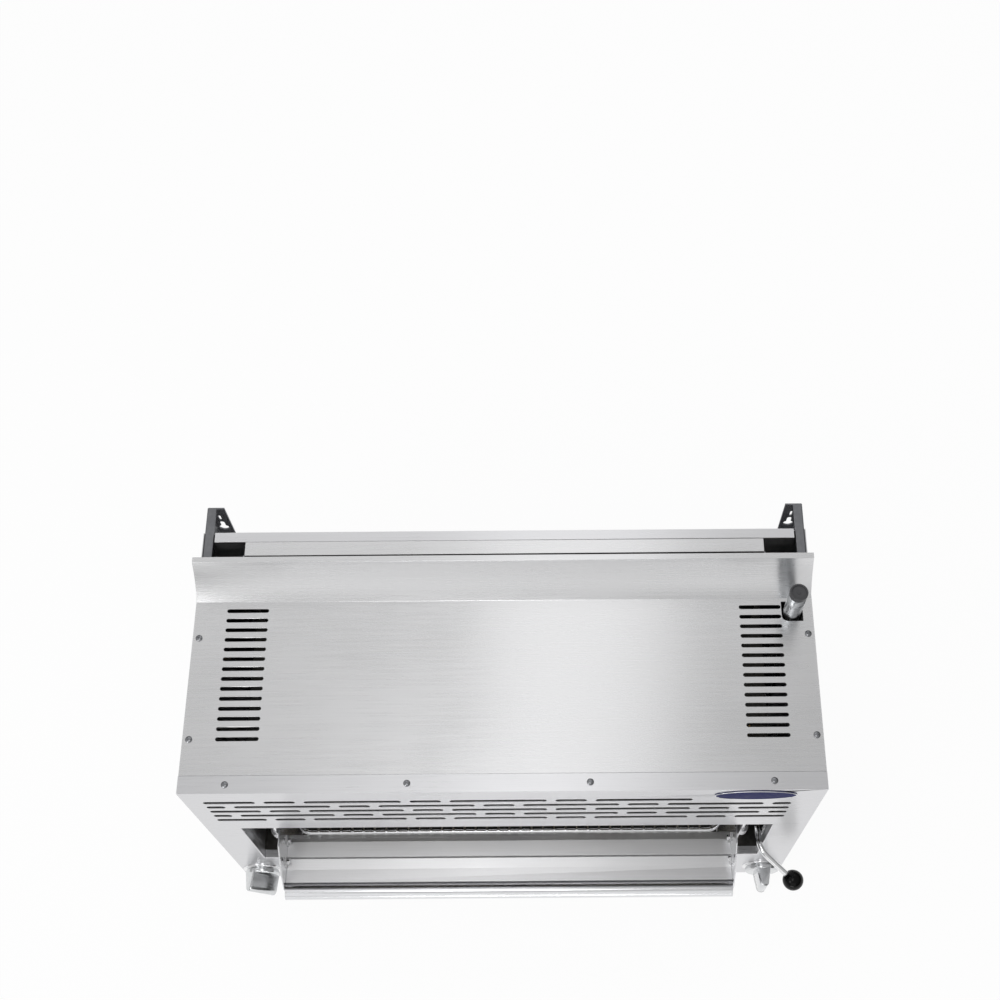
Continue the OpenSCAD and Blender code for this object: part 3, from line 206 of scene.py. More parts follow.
def plated_steel(name, dark, light, low, high, patch_mm=5, bump=0.06):
    """Nickel-chrome plate on steel: from nearly a mirror to satin, with small cloudy smears."""
    material, tree, place = new_material(name)
    patches = noise(tree, stretched(tree, place, (patch_mm, patch_mm, patch_mm)), 3.0)
    return surface(material, tree, {"Metallic": 1.0},
                   {"Base Color": blend_colours(tree, patches, dark, light),
                    "Roughness": spread(tree, patches, low, high),
                    "Normal": bumps(tree, patches, bump)})


def zinc_plate():
    """Zinc-plated structural steel: dark grey, satin, with the plating's fine mottle."""
    material, tree, place = new_material("zinc plate")
    mottle = noise(tree, stretched(tree, place, (6, 6, 9)), 4.0)
    both = layered(tree, mottle, noise(tree, stretched(tree, place, (80, 80, 120))), 0.5)
    return surface(material, tree, {"Metallic": 0.85},
                   {"Base Color": blend_colours(tree, both, "55565a", "8b8c8f"),
                    "Roughness": spread(tree, both, 0.34, 0.5),
                    "Normal": bumps(tree, mottle, 0.2)})


def aluminised_steel():
    """Aluminised sheet near the burners: dull grey with a straw tint where it has been hot."""
    material, tree, place = new_material("aluminised steel")
    spangle = cells(tree, stretched(tree, place, (7, 7, 7)), "Distance")
    heat = noise(tree, stretched(tree, place, (140, 140, 90)), 3.0)
    plain = blend_colours(tree, spangle, "434240", "5a5957")
    tint = stained(tree, spread(tree, heat, 0.0, 0.6, 0.45, 0.75), plain, "463d31")
    return surface(material, tree, {"Metallic": 0.9},
                   {"Base Color": tint, "Roughness": spread(tree, heat, 0.36, 0.52),
                    "Normal": bumps(tree, spangle, 0.1)})


def galvanised_pipe():
    """Hot-dip galvanised pipe: bright, with crystals a few millimetres wide."""
    material, tree, place = new_material("galvanised pipe")
    crystals = cells(tree, stretched(tree, place, (5, 5, 8)), "Color")
    tone = add(tree, "ShaderNodeSeparateColor", links={"Color": crystals}).outputs[0]
    return surface(material, tree, {"Metallic": 1.0},
                   {"Base Color": blend_colours(tree, tone, "a3a6a9", "cfd1d3"),
                    "Roughness": spread(tree, tone, 0.22, 0.38, 0.0, 1.0)})


def cast_black_pipe():
    """Black malleable iron and black pipe: mill scale, matt and slightly grainy."""
    material, tree, place = new_material("black iron")
    grains = noise(tree, stretched(tree, place, (2, 2, 2)), 4.0)
    return surface(material, tree, {"Metallic": 0.5},
                   {"Base Color": blend_colours(tree, grains, "26272a", "44464a"),
                    "Roughness": spread(tree, grains, 0.45, 0.65),
                    "Normal": bumps(tree, grains, 0.35, 0.3)})


def badge_enamel():
    """Printed enamel on the blank badge: deep blue, nearly matt."""
    material, tree, place = new_material("badge enamel")
    depth = noise(tree, stretched(tree, place, (9, 9, 9)), 2.0)
    return surface(material, tree, {"Specular IOR Level": 0.12},
                   {"Base Color": blend_colours(tree, depth, "12174a", "1a205a"),
                    "Roughness": spread(tree, depth, 0.5, 0.6)})


# The tiles' holes are 1.2 mm wide at 2.4 mm. They are drawn at 5 mm so that they show.
HOLE_PITCH = 5


def burner_ceramic():
    """Cordierite tiles: chalky cream, with rows of fine burner holes painted dark as painted shade
    inside them.
    """
    material, tree, place = new_material("burner ceramic")
    turns = 2 * math.pi / (HOLE_PITCH * MM)
    waves = []
    split = add(tree, "ShaderNodeSeparateXYZ", links={"Vector": place})
    for axis in (0, 1):
        phase = add(tree, "ShaderNodeMath", {"operation": "MULTIPLY", 1: turns},
                    {0: split.outputs[axis]}).outputs[0]
        waves.append(add(tree, "ShaderNodeMath", {"operation": "COSINE"}, {0: phase}).outputs[0])
    crossing = add(tree, "ShaderNodeMath", {"operation": "MULTIPLY"},
                   {0: waves[0], 1: waves[1]}).outputs[0]
    holes = spread(tree, crossing, 0.0, 1.0, 0.35, 0.5)
    chalk = noise(tree, stretched(tree, place, (14, 14, 14)), 4.0)
    body = blend_colours(tree, chalk, "cdbfa6", "e6dcc8")
    height = add(tree, "ShaderNodeBump", {"Strength": 0.6, "Distance": 0.6 * MM, "invert": True},
                 {"Height": holes}).outputs[0]
    return surface(material, tree, {},
                   # Painted shade: the holes are coloured dark brown where the real holes are in
                   # shade
                   {"Base Color": stained(tree, holes, body, "3a322a"),
                    "Roughness": spread(tree, chalk, 0.8, 0.95), "Normal": height})


def turned_brass(name, dark, light):
    """Machined brass or bronze: warm, with fine tool marks and a little tarnish."""
    material, tree, place = new_material(name)
    marks = noise(tree, stretched(tree, place, (1.2, 1.2, 1.2)), 1.0)
    tarnish = noise(tree, stretched(tree, place, (16, 16, 16)), 3.0)
    return surface(material, tree, {"Metallic": 1.0},
                   {"Base Color": blend_colours(tree, tarnish, dark, light),
                    "Roughness": spread(tree, tarnish, 0.22, 0.4),
                    "Normal": bumps(tree, marks, 0.08)})


def drawn_aluminium():
    """Soft aluminium gas tube: pale, satin, with faint drawing lines."""
    material, tree, place = new_material("drawn aluminium")
    lines = noise(tree, stretched(tree, place, (1.5, 1.5, 60)), 2.0)
    return surface(material, tree, {"Metallic": 1.0},
                   {"Base Color": blend_colours(tree, lines, "bfc1c4", "dcdee0"),
                    "Roughness": spread(tree, lines, 0.26, 0.38)})


def black_phenolic():
    """Moulded phenolic ball: deep black with a polished skin."""
    material, tree, place = new_material("black phenolic")
    skin = noise(tree, stretched(tree, place, (7, 7, 7)), 3.0)
    return surface(material, tree, {"Specular IOR Level": 0.15},
                   {"Base Color": blend_colours(tree, skin, "040404", "090909"),
                    "Roughness": spread(tree, skin, 0.12, 0.2)})


def cap_plastic():
    """Moulded polyethylene shipping cap: dark grey, waxy and finely textured."""
    material, tree, place = new_material("cap plastic")
    grain = noise(tree, stretched(tree, place, (1, 1, 1)), 3.0)
    return surface(material, tree, {},
                   {"Base Color": blend_colours(tree, grain, "3a3a3c", "4c4c4f"),
                    "Roughness": spread(tree, grain, 0.4, 0.55),
                    "Normal": bumps(tree, grain, 0.15)})


MATERIALS = {
    "cover_steel": brushed_stainless("cover stainless", "d6d6d7", "e0e0e1", 0.28, bump=0.03),
    "panel_steel": brushed_stainless("panel stainless", "d4d4d6", "e0e0e2", 0.3, bump=0.035),
    "polished_steel": polished_stainless(),
    "zinc_steel": zinc_plate(),
    "heat_steel": aluminised_steel(),
    "galvanised_pipe": galvanised_pipe(),
    "black_pipe": cast_black_pipe(),
    "badge": badge_enamel(),
    "tile": burner_ceramic(),
    "brass": turned_brass("brass", "a8854a", "d3b271"),
    "bronze": turned_brass("bearing bronze", "8d6a43", "b58e60"),
    "chrome": plated_steel("chrome plate", "dcdddf", "f2f2f2", 0.06, 0.14, 12, 0.04),
    "aluminium_tube": drawn_aluminium(),
    "ball_plastic": black_phenolic(),
    "plug_plastic": cap_plastic(),
}
# The side panels are ground from front to back, and their steel is painted a shade darker than the
# front's, as painted shade
SIDE_STEEL = brushed_stainless("side stainless", "cbcbcd", "dededf", 0.3, along="y")
# The rack's ledge and apron are ground coarser, so the light spreads into soft bands; their steel
# is also painted brighter than the panel's, as painted light on a strip that lies in shade
LEDGE_STEEL = brushed_stainless("ledge stainless", "dcdcdd", "ececed", 0.42)
# The cavity's liners are duller, and their steel is painted darker as painted shade inside the
# cavity, so that they frame the opening
LINER_STEEL = brushed_stainless("liner stainless", "b4b4b5", "cbcbcc", 0.4, along="y")
# The grid's wire is painted brighter than the chrome plate, as painted light, so its rods stand
# out against the dark below
WIRE_PLATE = plated_steel("plated wire", "e8e8ea", "f6f6f6", 0.1, 0.2)
# The knobs' castings are painted a little grey, as painted shade for the darker reflections on
# chrome, so they keep an outline on a white ground
KNOB_PLATE = plated_steel("chrome casting painted grey", "c6c8ca", "e0e1e2", 0.12, 0.2)
# The cover's screws are painted dark, as painted shade, so that they show as dots on the bright
# sheet
SCREW_STEEL = plated_steel("screw plate painted dark", "7f8083", "9b9c9f", 0.2, 0.3)


# Mesh helpers

SMOOTH_DEG = 8
SHARP_FROM = math.radians(30)
SHORT_EDGE = 2.5 * MM
WIDE_FACE = 4 * MM
LONG_FOLD = WIDE_FACE * 5
WELD = 0.01 * MM
DOUBLE = 0.002 * MM
MOST_CORNERS = 4


def add_piece(bm, name, nodes, slot=None, material=None, smooth_deg=SMOOTH_DEG):
    """Makes an object of bm that rides with the first node's body and stands for all the nodes."""
    mesh = bpy.data.meshes.new(name)
    bm.to_mesh(mesh)
    bm.free()
    slot = slot or SLOT_OF[nodes[0]]
    mesh.materials.append(material or MATERIALS[slot])
    mesh.polygons.foreach_set("use_smooth", [True] * len(mesh.polygons))
    mesh.set_sharp_from_angle(angle=math.radians(smooth_deg))
    piece = bpy.data.objects.new(name, mesh)
    bpy.context.scene.collection.objects.link(piece)
    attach(piece, BODY_OF[nodes[0]])
    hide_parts(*nodes)


def close_up(bm):
    """Merges doubles and turns every face outwards."""
    bmesh.ops.remove_doubles(bm, verts=bm.verts, dist=DOUBLE)
    bmesh.ops.recalc_face_normals(bm, faces=bm.faces)


def soften(bm, edges, width, segments):
    if edges:
        bmesh.ops.bevel(bm, geom=edges, offset=width, offset_type="OFFSET", segments=segments,
                        profile=0.5, affect="EDGES", clamp_overlap=False, material=-1)


def pull(bm, faces, vector, keep=False):
    """Extrudes faces along a vector and returns the vertices that moved."""
    grown = bmesh.ops.extrude_face_region(bm, geom=faces, use_keep_orig=keep)["geom"]
    moved = [g for g in grown if isinstance(g, bmesh.types.BMVert)]
    bmesh.ops.translate(bm, verts=moved, vec=vector)
    return moved


def is_sharp(edge):
    return len(edge.link_faces) == 2 and edge.calc_face_angle(0) > SHARP_FROM


def is_bend(edge):
    """A fold of the sheet: both faces beside it are far wider than the sheet is thick."""
    length = edge.calc_length()
    return length > LONG_FOLD and all(f.calc_area() > length * WIDE_FACE
                                      for f in edge.link_faces)


def finished(node, edge_mm=0.3, bend_mm=1.2, material=None):
    """A copy of a node's solid with broken edges and rounded folds, which stands for the node."""
    bm = bmesh.new()
    bm.from_mesh(NODES[node].data)
    bmesh.ops.remove_doubles(bm, verts=bm.verts, dist=WELD)
    bends = [e for e in bm.edges if is_sharp(e) and is_bend(e)]
    soften(bm, bends, bend_mm * MM, 3)
    edges = [e for e in bm.edges if is_sharp(e) and e.calc_length() > SHORT_EDGE]
    soften(bm, edges, edge_mm * MM, 1)
    bmesh.ops.triangulate(bm, faces=[f for f in bm.faces if len(f.verts) > MOST_CORNERS])
    add_piece(bm, node + "_finished", [node], material=material)


def lathe(bm, outline_mm, steps=64):
    """Spins an outline of radius and height about Z, and returns the new vertices."""
    start = set(bm.verts)
    verts = [bm.verts.new((r * MM, 0, z * MM)) for r, z in outline_mm]
    edges = [bm.edges.new(pair) for pair in zip(verts, verts[1:])]
    bmesh.ops.spin(bm, geom=verts + edges, cent=(0, 0, 0), axis=(0, 0, 1), dvec=(0, 0, 0),
                   angle=2 * math.pi, steps=steps, use_merge=True, use_duplicate=False)
    return [v for v in bm.verts if v not in start]


def arc(centre, radius, start, end, steps=6):
    """Points of radius and height round a corner, with angles in degrees."""
    angles = [math.radians(start + (end - start) * i / steps) for i in range(steps + 1)]
    return [(centre[0] + radius * math.cos(a), centre[1] + radius * math.sin(a)) for a in angles]


def rounded_path(points, reach, steps=8):
    """A path with each inner corner swept round over the given reach."""
    path = [points[0]]
    for before, corner, after in zip(points, points[1:], points[2:]):
        start = corner + (before - corner).normalized() * reach
        end = corner + (after - corner).normalized() * reach
        for i in range(steps + 1):
            t = i / steps
            path.append(start.lerp(corner, t).lerp(corner.lerp(end, t), t))
    return path + [points[-1]]


def wire(bm, points, radius, rings=4, closed=False):
    """Adds a round wire along the points."""
    curve = bpy.data.curves.new("wire", "CURVE")
    curve.dimensions = "3D"
    curve.bevel_depth = radius
    curve.bevel_resolution = rings
    curve.use_fill_caps = True
    spline = curve.splines.new("POLY")
    spline.points.add(len(points) - 1)
    for spot, point in zip(spline.points, points):
        spot.co = (*point, 1)
    spline.use_cyclic_u = closed
    holder = bpy.data.objects.new("wire", curve)
    mesh = bpy.data.meshes.new_from_object(holder)
    bm.from_mesh(mesh)
    bpy.data.objects.remove(holder)
    bpy.data.curves.remove(curve)
    bpy.data.meshes.remove(mesh)


def middle(node):
    low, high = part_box(node)
    return (low + high) / 2


# Sheet-metal pieces and plain hardware keep their solids, with broken edges and round folds
def make_sheet_pieces():
    for node in ("left_side_panel", "right_side_panel"):
        finished(node, material=SIDE_STEEL)
    finished("front_panel", edge_mm=0.12)
    finished("top_cover", bend_mm=2.2)
    for node in ("base_panel", "rear_panel", "inner_back_wall", "flue_front_wall",
                 "flue_end_plates", "cavity_floor", "cavity_roof", "heat_shield",
                 "left_burner_housing", "right_burner_housing"):
        finished(node)
    finished("drip_tray", material=MATERIALS["heat_steel"])
    for node in ("left_wall_rail", "right_wall_rail"):
        finished(node, edge_mm=0.4, bend_mm=2.0)
    for node in ("rack_left_plate", "rack_right_plate", "left_carriage_side",
                 "right_carriage_side"):
        finished(node, edge_mm=0.35, bend_mm=0.5)
    for node in ("rack_ledge", "rack_apron"):
        finished(node, edge_mm=0.35, bend_mm=0.5, material=LEDGE_STEEL)
    for node in ("left_liner", "right_liner"):
        finished(node, material=LINER_STEEL)


def make_plain_hardware():
    for node in ("guide_rods", "shaft_bearings", "lift_shaft", "lift_arms", "left_roller",
                 "right_roller", "carriage_ties", "rack_nose_tube", "lever_quadrant",
                 "burner_venturis", "burner_orifices", "gas_manifold", "inlet_elbow",
                 "feed_pipe", "gas_valves", "pilot_burners", "left_valve_stem",
                 "right_valve_stem", "rail_bolts", "rack_bolts", "supply_tubes", "pilot_tubes"):
        finished(node, edge_mm=0.4, bend_mm=0.4)
    for node in ("left_burner_tiles", "right_burner_tiles"):
        finished(node, edge_mm=0.6, bend_mm=0.6)


# Rack grid: round wires on a bent border, welded where they cross
GRID_BORDER = 7
GRID_ROD = 4
GRID_CORNER = 22
GRID_RODS = 37
GRID_SIDE = 14
BORDER_SINK = 0.8
CROSS_SINK = 0.4
CROSS_SHARES = (0.03, 0.35, 0.68)


def make_rack_grid():
    low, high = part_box("rack_grid")
    border = GRID_BORDER / 2 * MM
    rod = GRID_ROD / 2 * MM
    x0, y0 = low.x + border, low.y + border
    x1, y1 = high.x - border, high.y - border
    rod_z = high.z - rod
    border_z = rod_z - rod - border + BORDER_SINK * MM
    cross_z = rod_z - rod * 2 + CROSS_SINK * MM
    bm = bmesh.new()
    corners = [Vector((x0, y0, border_z)), Vector((x1, y0, border_z)),
               Vector((x1, y1, border_z)), Vector((x0, y1, border_z))]
    start = (corners[0] + corners[1]) / 2
    loop = rounded_path([start] + corners[1:] + [corners[0], start], GRID_CORNER * MM)
    wire(bm, loop[:-1], border, rings=5, closed=True)
    first = x0 + GRID_SIDE * MM
    step = (x1 - first - GRID_SIDE * MM) / (GRID_RODS - 1)
    for i in range(GRID_RODS):
        x = first + i * step
        wire(bm, [Vector((x, y0, rod_z)), Vector((x, y1, rod_z))], rod)
    for share in CROSS_SHARES:
        y = y0 + (y1 - y0) * share + GRID_BORDER * MM
        wire(bm, [Vector((x0, y, cross_z)), Vector((x1, y, cross_z))], rod)
    add_piece(bm, "wire_grid", ["rack_grid"], material=WIRE_PLATE, smooth_deg=40)


# Lever: a hub on the lift shaft, a rod with one sweeping bend, and a ball
FIT = 0.05
LEVER_ROD = 9.5
LEVER_BEND = Vector((397, -216.5, 215)) * MM
LEVER_BEND_REACH = 20 * MM
HUB_W = 10
HUB_D = 26
HUB_EDGE = 1
ROD_START_SHARE = 0.8
BALL_GRIP = 4 * MM
BALL_BORE_DEEP = 4
NECK_R = 7.5
NECK_EDGE = 0.6


def make_lever():
    shaft = middle("lift_shaft")
    ball = middle("lever_ball")
    start = Vector((LEVER_BEND.x, shaft.y, shaft.z))
    way = (LEVER_BEND - start).normalized()
    end = ball + (ball - LEVER_BEND).normalized() * BALL_GRIP
    bore = (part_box("lift_shaft")[1].z - shaft.z) / MM + FIT
    hub = HUB_D / 2
    half = HUB_W / 2
    outline = ([(bore, -half), (hub - HUB_EDGE, -half)]
               + arc((hub - HUB_EDGE, -half + HUB_EDGE), HUB_EDGE, -90, 0)
               + arc((hub - HUB_EDGE, half - HUB_EDGE), HUB_EDGE, 0, 90)
               + [(bore, half), (bore, -half)])
    bm = bmesh.new()
    ring = lathe(bm, outline)
    bmesh.ops.rotate(bm, verts=ring, cent=(0, 0, 0), matrix=Matrix.Rotation(math.pi / 2, 3, "Y"))
    bmesh.ops.translate(bm, verts=ring, vec=start)
    close_up(bm)
    rod_start = start + way * hub * ROD_START_SHARE * MM
    wire(bm, rounded_path([rod_start, LEVER_BEND, end], LEVER_BEND_REACH, 12),
         LEVER_ROD / 2 * MM, rings=8)
    add_piece(bm, "lever_with_hub", ["lever_rod"], smooth_deg=40)


def make_ball():
    low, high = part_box("lever_ball")
    ball = middle("lever_ball")
    radius = (high.x - low.x) / 2 / MM
    bore = LEVER_ROD / 2 + FIT
    neck_angle = math.degrees(math.asin(NECK_R / radius))
    neck_z = -radius * math.cos(math.radians(neck_angle))
    outline = ([(bore, neck_z + BALL_BORE_DEEP), (bore, neck_z), (NECK_R - NECK_EDGE, neck_z)]
               + arc((0, 0), radius, -90 + neck_angle, 90, 32))
    bm = bmesh.new()
    lathe(bm, outline)
    close_up(bm)
    turn = Vector((0, 0, 1)).rotation_difference((ball - LEVER_BEND).normalized())
    bmesh.ops.rotate(bm, verts=bm.verts, cent=(0, 0, 0), matrix=turn.to_matrix())
    bmesh.ops.translate(bm, verts=bm.verts, vec=ball)
    add_piece(bm, "ball_knob", ["lever_ball"], smooth_deg=40)


# Knobs: a round skirt with a rolled edge, and across it a tapered bar with a round ridge
FACING_FRONT = Matrix(((1, 0, 0), (0, 0, -1), (0, 1, 0)))
KNOB_GAP = 4.3
KNOB_TURNS = {"left_knob": 45, "right_knob": 0}
SKIRT_R = 28
SKIRT_T = 8
SKIRT_FOOT_EDGE = 1.5
SKIRT_EDGE = 3
SKIRT_TAPER = 0.5
SKIRT_FLAT = 9
SKIRT_RISE = 0.4
GRIP_W = 26
GRIP_TIP = 16
GRIP_OUT = 42
GRIP_LONG = 52
GRIP_SINK = 2
GRIP_EDGE = 1.6
STEM_R = 4.05
STEM_DEEP = 4


def knob_grip(bm):
    tip = GRIP_TIP / 2
    foot = KNOB_GAP + GRIP_SINK
    side = [(-GRIP_W / 2, foot), (GRIP_W / 2, foot)]
    outline = side + arc((0, GRIP_OUT - tip), tip, 0, 180, 12)
    verts = [bm.verts.new((x * MM, -GRIP_LONG / 2 * MM, z * MM)) for x, z in outline]
    pull(bm, [bm.faces.new(verts)], (0, GRIP_LONG * MM, 0))
    bmesh.ops.recalc_face_normals(bm, faces=bm.faces)
    soften(bm, [e for e in bm.edges if is_sharp(e)], GRIP_EDGE * MM, 3)


def make_knob(node):
    centre = middle(node)
    front_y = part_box("front_panel")[0].y
    bm = bmesh.new()
    knob_grip(bm)
    top = KNOB_GAP + SKIRT_T
    foot_r = SKIRT_R - SKIRT_FOOT_EDGE
    edge_r = SKIRT_R - SKIRT_EDGE - SKIRT_TAPER
    outline = ([(STEM_R, KNOB_GAP + STEM_DEEP), (STEM_R, KNOB_GAP), (foot_r, KNOB_GAP)]
               + arc((foot_r, KNOB_GAP + SKIRT_FOOT_EDGE), SKIRT_FOOT_EDGE, -90, 0)
               + arc((edge_r, top - SKIRT_EDGE), SKIRT_EDGE, 10, 90)
               + [(SKIRT_R - SKIRT_FLAT, top + SKIRT_RISE), (STEM_R, top + SKIRT_RISE * 2)])
    lathe(bm, outline, 96)
    close_up(bm)
    turn = Matrix.Rotation(math.radians(KNOB_TURNS[node]), 3, "Z")
    bmesh.ops.rotate(bm, verts=bm.verts, cent=(0, 0, 0), matrix=FACING_FRONT @ turn)
    bmesh.ops.translate(bm, verts=bm.verts, vec=(centre.x, front_y, centre.z))
    add_piece(bm, node + "_cast", [node], material=KNOB_PLATE, smooth_deg=25)


# Bezels: pressed rings behind the knobs, with a rolled rim, a step and a dished middle
BEZEL_R = 32.5
BEZEL_T = 4
BEZEL_BORE = 6
BEZEL_RIM = 1.2
BEZEL_RIM_Z = 1.4
BEZEL_STEP = 0.8
BEZEL_STEP_IN = 6
BEZEL_DISH = 1.5


def make_bezels():
    front_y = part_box("front_panel")[0].y
    rim = arc((BEZEL_R - BEZEL_RIM, BEZEL_RIM_Z), BEZEL_RIM, -20, 90)
    step = arc((BEZEL_R - BEZEL_STEP_IN, BEZEL_T - BEZEL_STEP), BEZEL_STEP, 20, 90)
    valley = [(BEZEL_R - 3.5, 2.4), (BEZEL_R - 5, BEZEL_T - 0.6)]
    dish = [(BEZEL_BORE * 2, BEZEL_T), (BEZEL_BORE * 1.5, BEZEL_T - BEZEL_DISH),
            (BEZEL_BORE, BEZEL_T - BEZEL_DISH), (BEZEL_BORE, 0)]
    outline = [(BEZEL_BORE, 0), (BEZEL_R, 0)] + rim + valley + step + dish
    bm = bmesh.new()
    for node in ("left_knob", "right_knob"):
        centre = middle(node)
        ring = lathe(bm, outline, 96)
        bmesh.ops.rotate(bm, verts=ring, cent=(0, 0, 0), matrix=FACING_FRONT)
        bmesh.ops.translate(bm, verts=ring, vec=(centre.x, front_y, centre.z))
    close_up(bm)
    add_piece(bm, "pressed_bezels", ["knob_bezels"], smooth_deg=25)


# Inlet pipe with its thread, and the shipping cap on it
PIPE_R = 13.35
PIPE_BORE_R = 10.4
PIPE_CHAMFER = 0.6
THREAD_PITCH = 1.81
THREAD_LONG = 20
THREAD_ROOT_R = 12.1
THREAD_CREST_R = 13.14
THREAD_SINK = 0.4
THREAD_FLAT = 0.1
THREAD_FROM = 1.4
THREAD_STEPS = 48
THREAD_CORE_R = THREAD_ROOT_R + 0.2


def thread(bm, start_z):
    """One helical ridge of triangular section, closed at both ends."""
    turns = int(THREAD_LONG / THREAD_PITCH) - 1
    half = THREAD_PITCH / 2
    section = [(THREAD_ROOT_R - THREAD_SINK, half), (THREAD_ROOT_R, THREAD_FLAT),
               (THREAD_CREST_R, half), (THREAD_ROOT_R, THREAD_PITCH - THREAD_FLAT)]
    verts = [bm.verts.new((r * MM, 0, (start_z + z) * MM)) for r, z in section]
    edges = [bm.edges.new((a, b)) for a, b in zip(verts, verts[1:] + verts[:1])]
    steps = turns * THREAD_STEPS
    bmesh.ops.spin(bm, geom=verts + edges, cent=(0, 0, 0), axis=(0, 0, 1),
                   dvec=(0, 0, turns * THREAD_PITCH * MM / steps), angle=2 * math.pi * turns,
                   steps=steps, use_merge=False, use_duplicate=False)
    bmesh.ops.holes_fill(bm, edges=[e for e in bm.edges if e.is_boundary], sides=4)


def make_inlet_pipe():
    low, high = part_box("inlet_pipe")
    centre = middle("inlet_pipe")
    bottom, top = low.z / MM, high.z / MM
    shoulder = top - THREAD_LONG
    bm = bmesh.new()
    thread(bm, shoulder + THREAD_FROM)
    outline = [(PIPE_BORE_R, bottom), (PIPE_R, bottom), (PIPE_R, shoulder - PIPE_CHAMFER),
               (THREAD_CORE_R, shoulder + PIPE_CHAMFER), (THREAD_CORE_R, top - 0.8),
               (THREAD_ROOT_R - PIPE_CHAMFER, top), (PIPE_BORE_R + PIPE_CHAMFER, top),
               (PIPE_BORE_R, top - PIPE_CHAMFER), (PIPE_BORE_R, bottom)]
    lathe(bm, outline)
    close_up(bm)
    bmesh.ops.translate(bm, verts=bm.verts, vec=(centre.x, centre.y, 0))
    add_piece(bm, "threaded_inlet_pipe", ["inlet_pipe"], smooth_deg=30)


PLUG_GAP_R = 10.1
PLUG_DISC = 8
PLUG_LIFT = 0.1
PLUG_LEAD = 0.8
PLUG_RIM = 3.2


def make_inlet_plug():
    low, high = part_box("inlet_plug")
    centre = middle("inlet_plug")
    bottom, top = low.z / MM, high.z / MM
    foot, disc = bottom + PLUG_LIFT, top - PLUG_DISC + PLUG_LIFT
    outline = ([(0, foot), (PLUG_GAP_R - PLUG_LEAD, foot), (PLUG_GAP_R, bottom + 1),
                (PLUG_GAP_R, disc), (PIPE_R, disc)]
               + arc((PIPE_R - 1, top - 1), 1, 0, 90)
               + arc((PIPE_R - 2.2, top - 0.6), 0.6, 90, 180)
               + [(PIPE_R - PLUG_RIM, top - 2), (3, top - 2.2), (2.4, top - 1.4), (0, top - 1.3)])
    bm = bmesh.new()
    lathe(bm, outline)
    close_up(bm)
    bmesh.ops.translate(bm, verts=bm.verts, vec=(centre.x, centre.y, 0))
    add_piece(bm, "shipping_cap", ["inlet_plug"], smooth_deg=30)


# Cover screws: domed heads with a cross recess
SCREW_HEAD_R = 5
SCREW_HEAD_H = 2.6
SCREW_SIDE_H = 0.9
SCREW_DOME_R = SCREW_HEAD_R * 1.6
SCREW_DOME_FROM = 55
SCREW_DOME_END = SCREW_HEAD_R - 0.2
SCREW_SHANK_R = 1.85
SCREW_SHANK_LONG = 9
RECESS_LONG = 4.4
RECESS_WIDE = 1.1
RECESS_DEEP = 1.3


def cut_with(bm, cutter):
    """Takes the cutter's solid away from bm and returns the result."""
    holders = []
    for source in (bm, cutter):
        mesh = bpy.data.meshes.new("cut")
        source.to_mesh(mesh)
        source.free()
        holders.append(bpy.data.objects.new("cut", mesh))
        bpy.context.scene.collection.objects.link(holders[-1])
    modifier = holders[0].modifiers.new("cut", "BOOLEAN")
    modifier.operation = "DIFFERENCE"
    modifier.solver = "EXACT"
    modifier.object = holders[1]
    bpy.context.view_layer.update()
    result = bmesh.new()
    result.from_object(holders[0], bpy.context.evaluated_depsgraph_get())
    for holder in holders:
        mesh = holder.data
        bpy.data.objects.remove(holder)
        bpy.data.meshes.remove(mesh)
    return result


def one_screw():
    dome = arc((0, SCREW_HEAD_H - SCREW_DOME_R), SCREW_DOME_R, SCREW_DOME_FROM, 90, 10)
    outline = [(0, -SCREW_SHANK_LONG), (SCREW_SHANK_R, -SCREW_SHANK_LONG), (SCREW_SHANK_R, FIT),
               (SCREW_HEAD_R, FIT), (SCREW_HEAD_R, SCREW_SIDE_H)]
    outline += [p for p in dome if p[0] < SCREW_DOME_END]
    bm = bmesh.new()
    lathe(bm, outline, 32)
    close_up(bm)
    far, near = RECESS_LONG / 2, RECESS_WIDE / 2
    cross = [(far, -near), (far, near), (near, near), (near, far), (-near, far), (-near, near),
             (-far, near), (-far, -near), (-near, -near), (-near, -far), (near, -far),
             (near, -near)]
    floor_z = (SCREW_HEAD_H - RECESS_DEEP) * MM
    cutter = bmesh.new()
    face = cutter.faces.new([cutter.verts.new((x * MM, y * MM, floor_z)) for x, y in cross])
    pull(cutter, [face], (0, 0, RECESS_DEEP * 2 * MM))
    bmesh.ops.recalc_face_normals(cutter, faces=cutter.faces)
    return cut_with(bm, cutter)


SCREW_TURN = 37
SCREWS_APART = 20 * MM
HEAD_TIP = 0.7 * MM


def screw_places():
    """The middle of each screw's head, found on the solid of the node that holds them all."""
    source = bmesh.new()
    source.from_mesh(NODES["cover_screws"].data)
    bmesh.ops.remove_doubles(source, verts=source.verts, dist=WELD)
    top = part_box("cover_screws")[1].z
    tips = [v.co.copy() for v in source.verts if v.co.z > top - HEAD_TIP]
    source.free()
    places = []
    for tip in tips:
        if all((tip.xy - p.xy).length > SCREWS_APART for p in places):
            near = [t for t in tips if (t.xy - tip.xy).length < SCREWS_APART]
            places.append(sum(near, Vector()) / len(near))
    return sorted(places, key=lambda p: (round(p.x, 3), p.y))


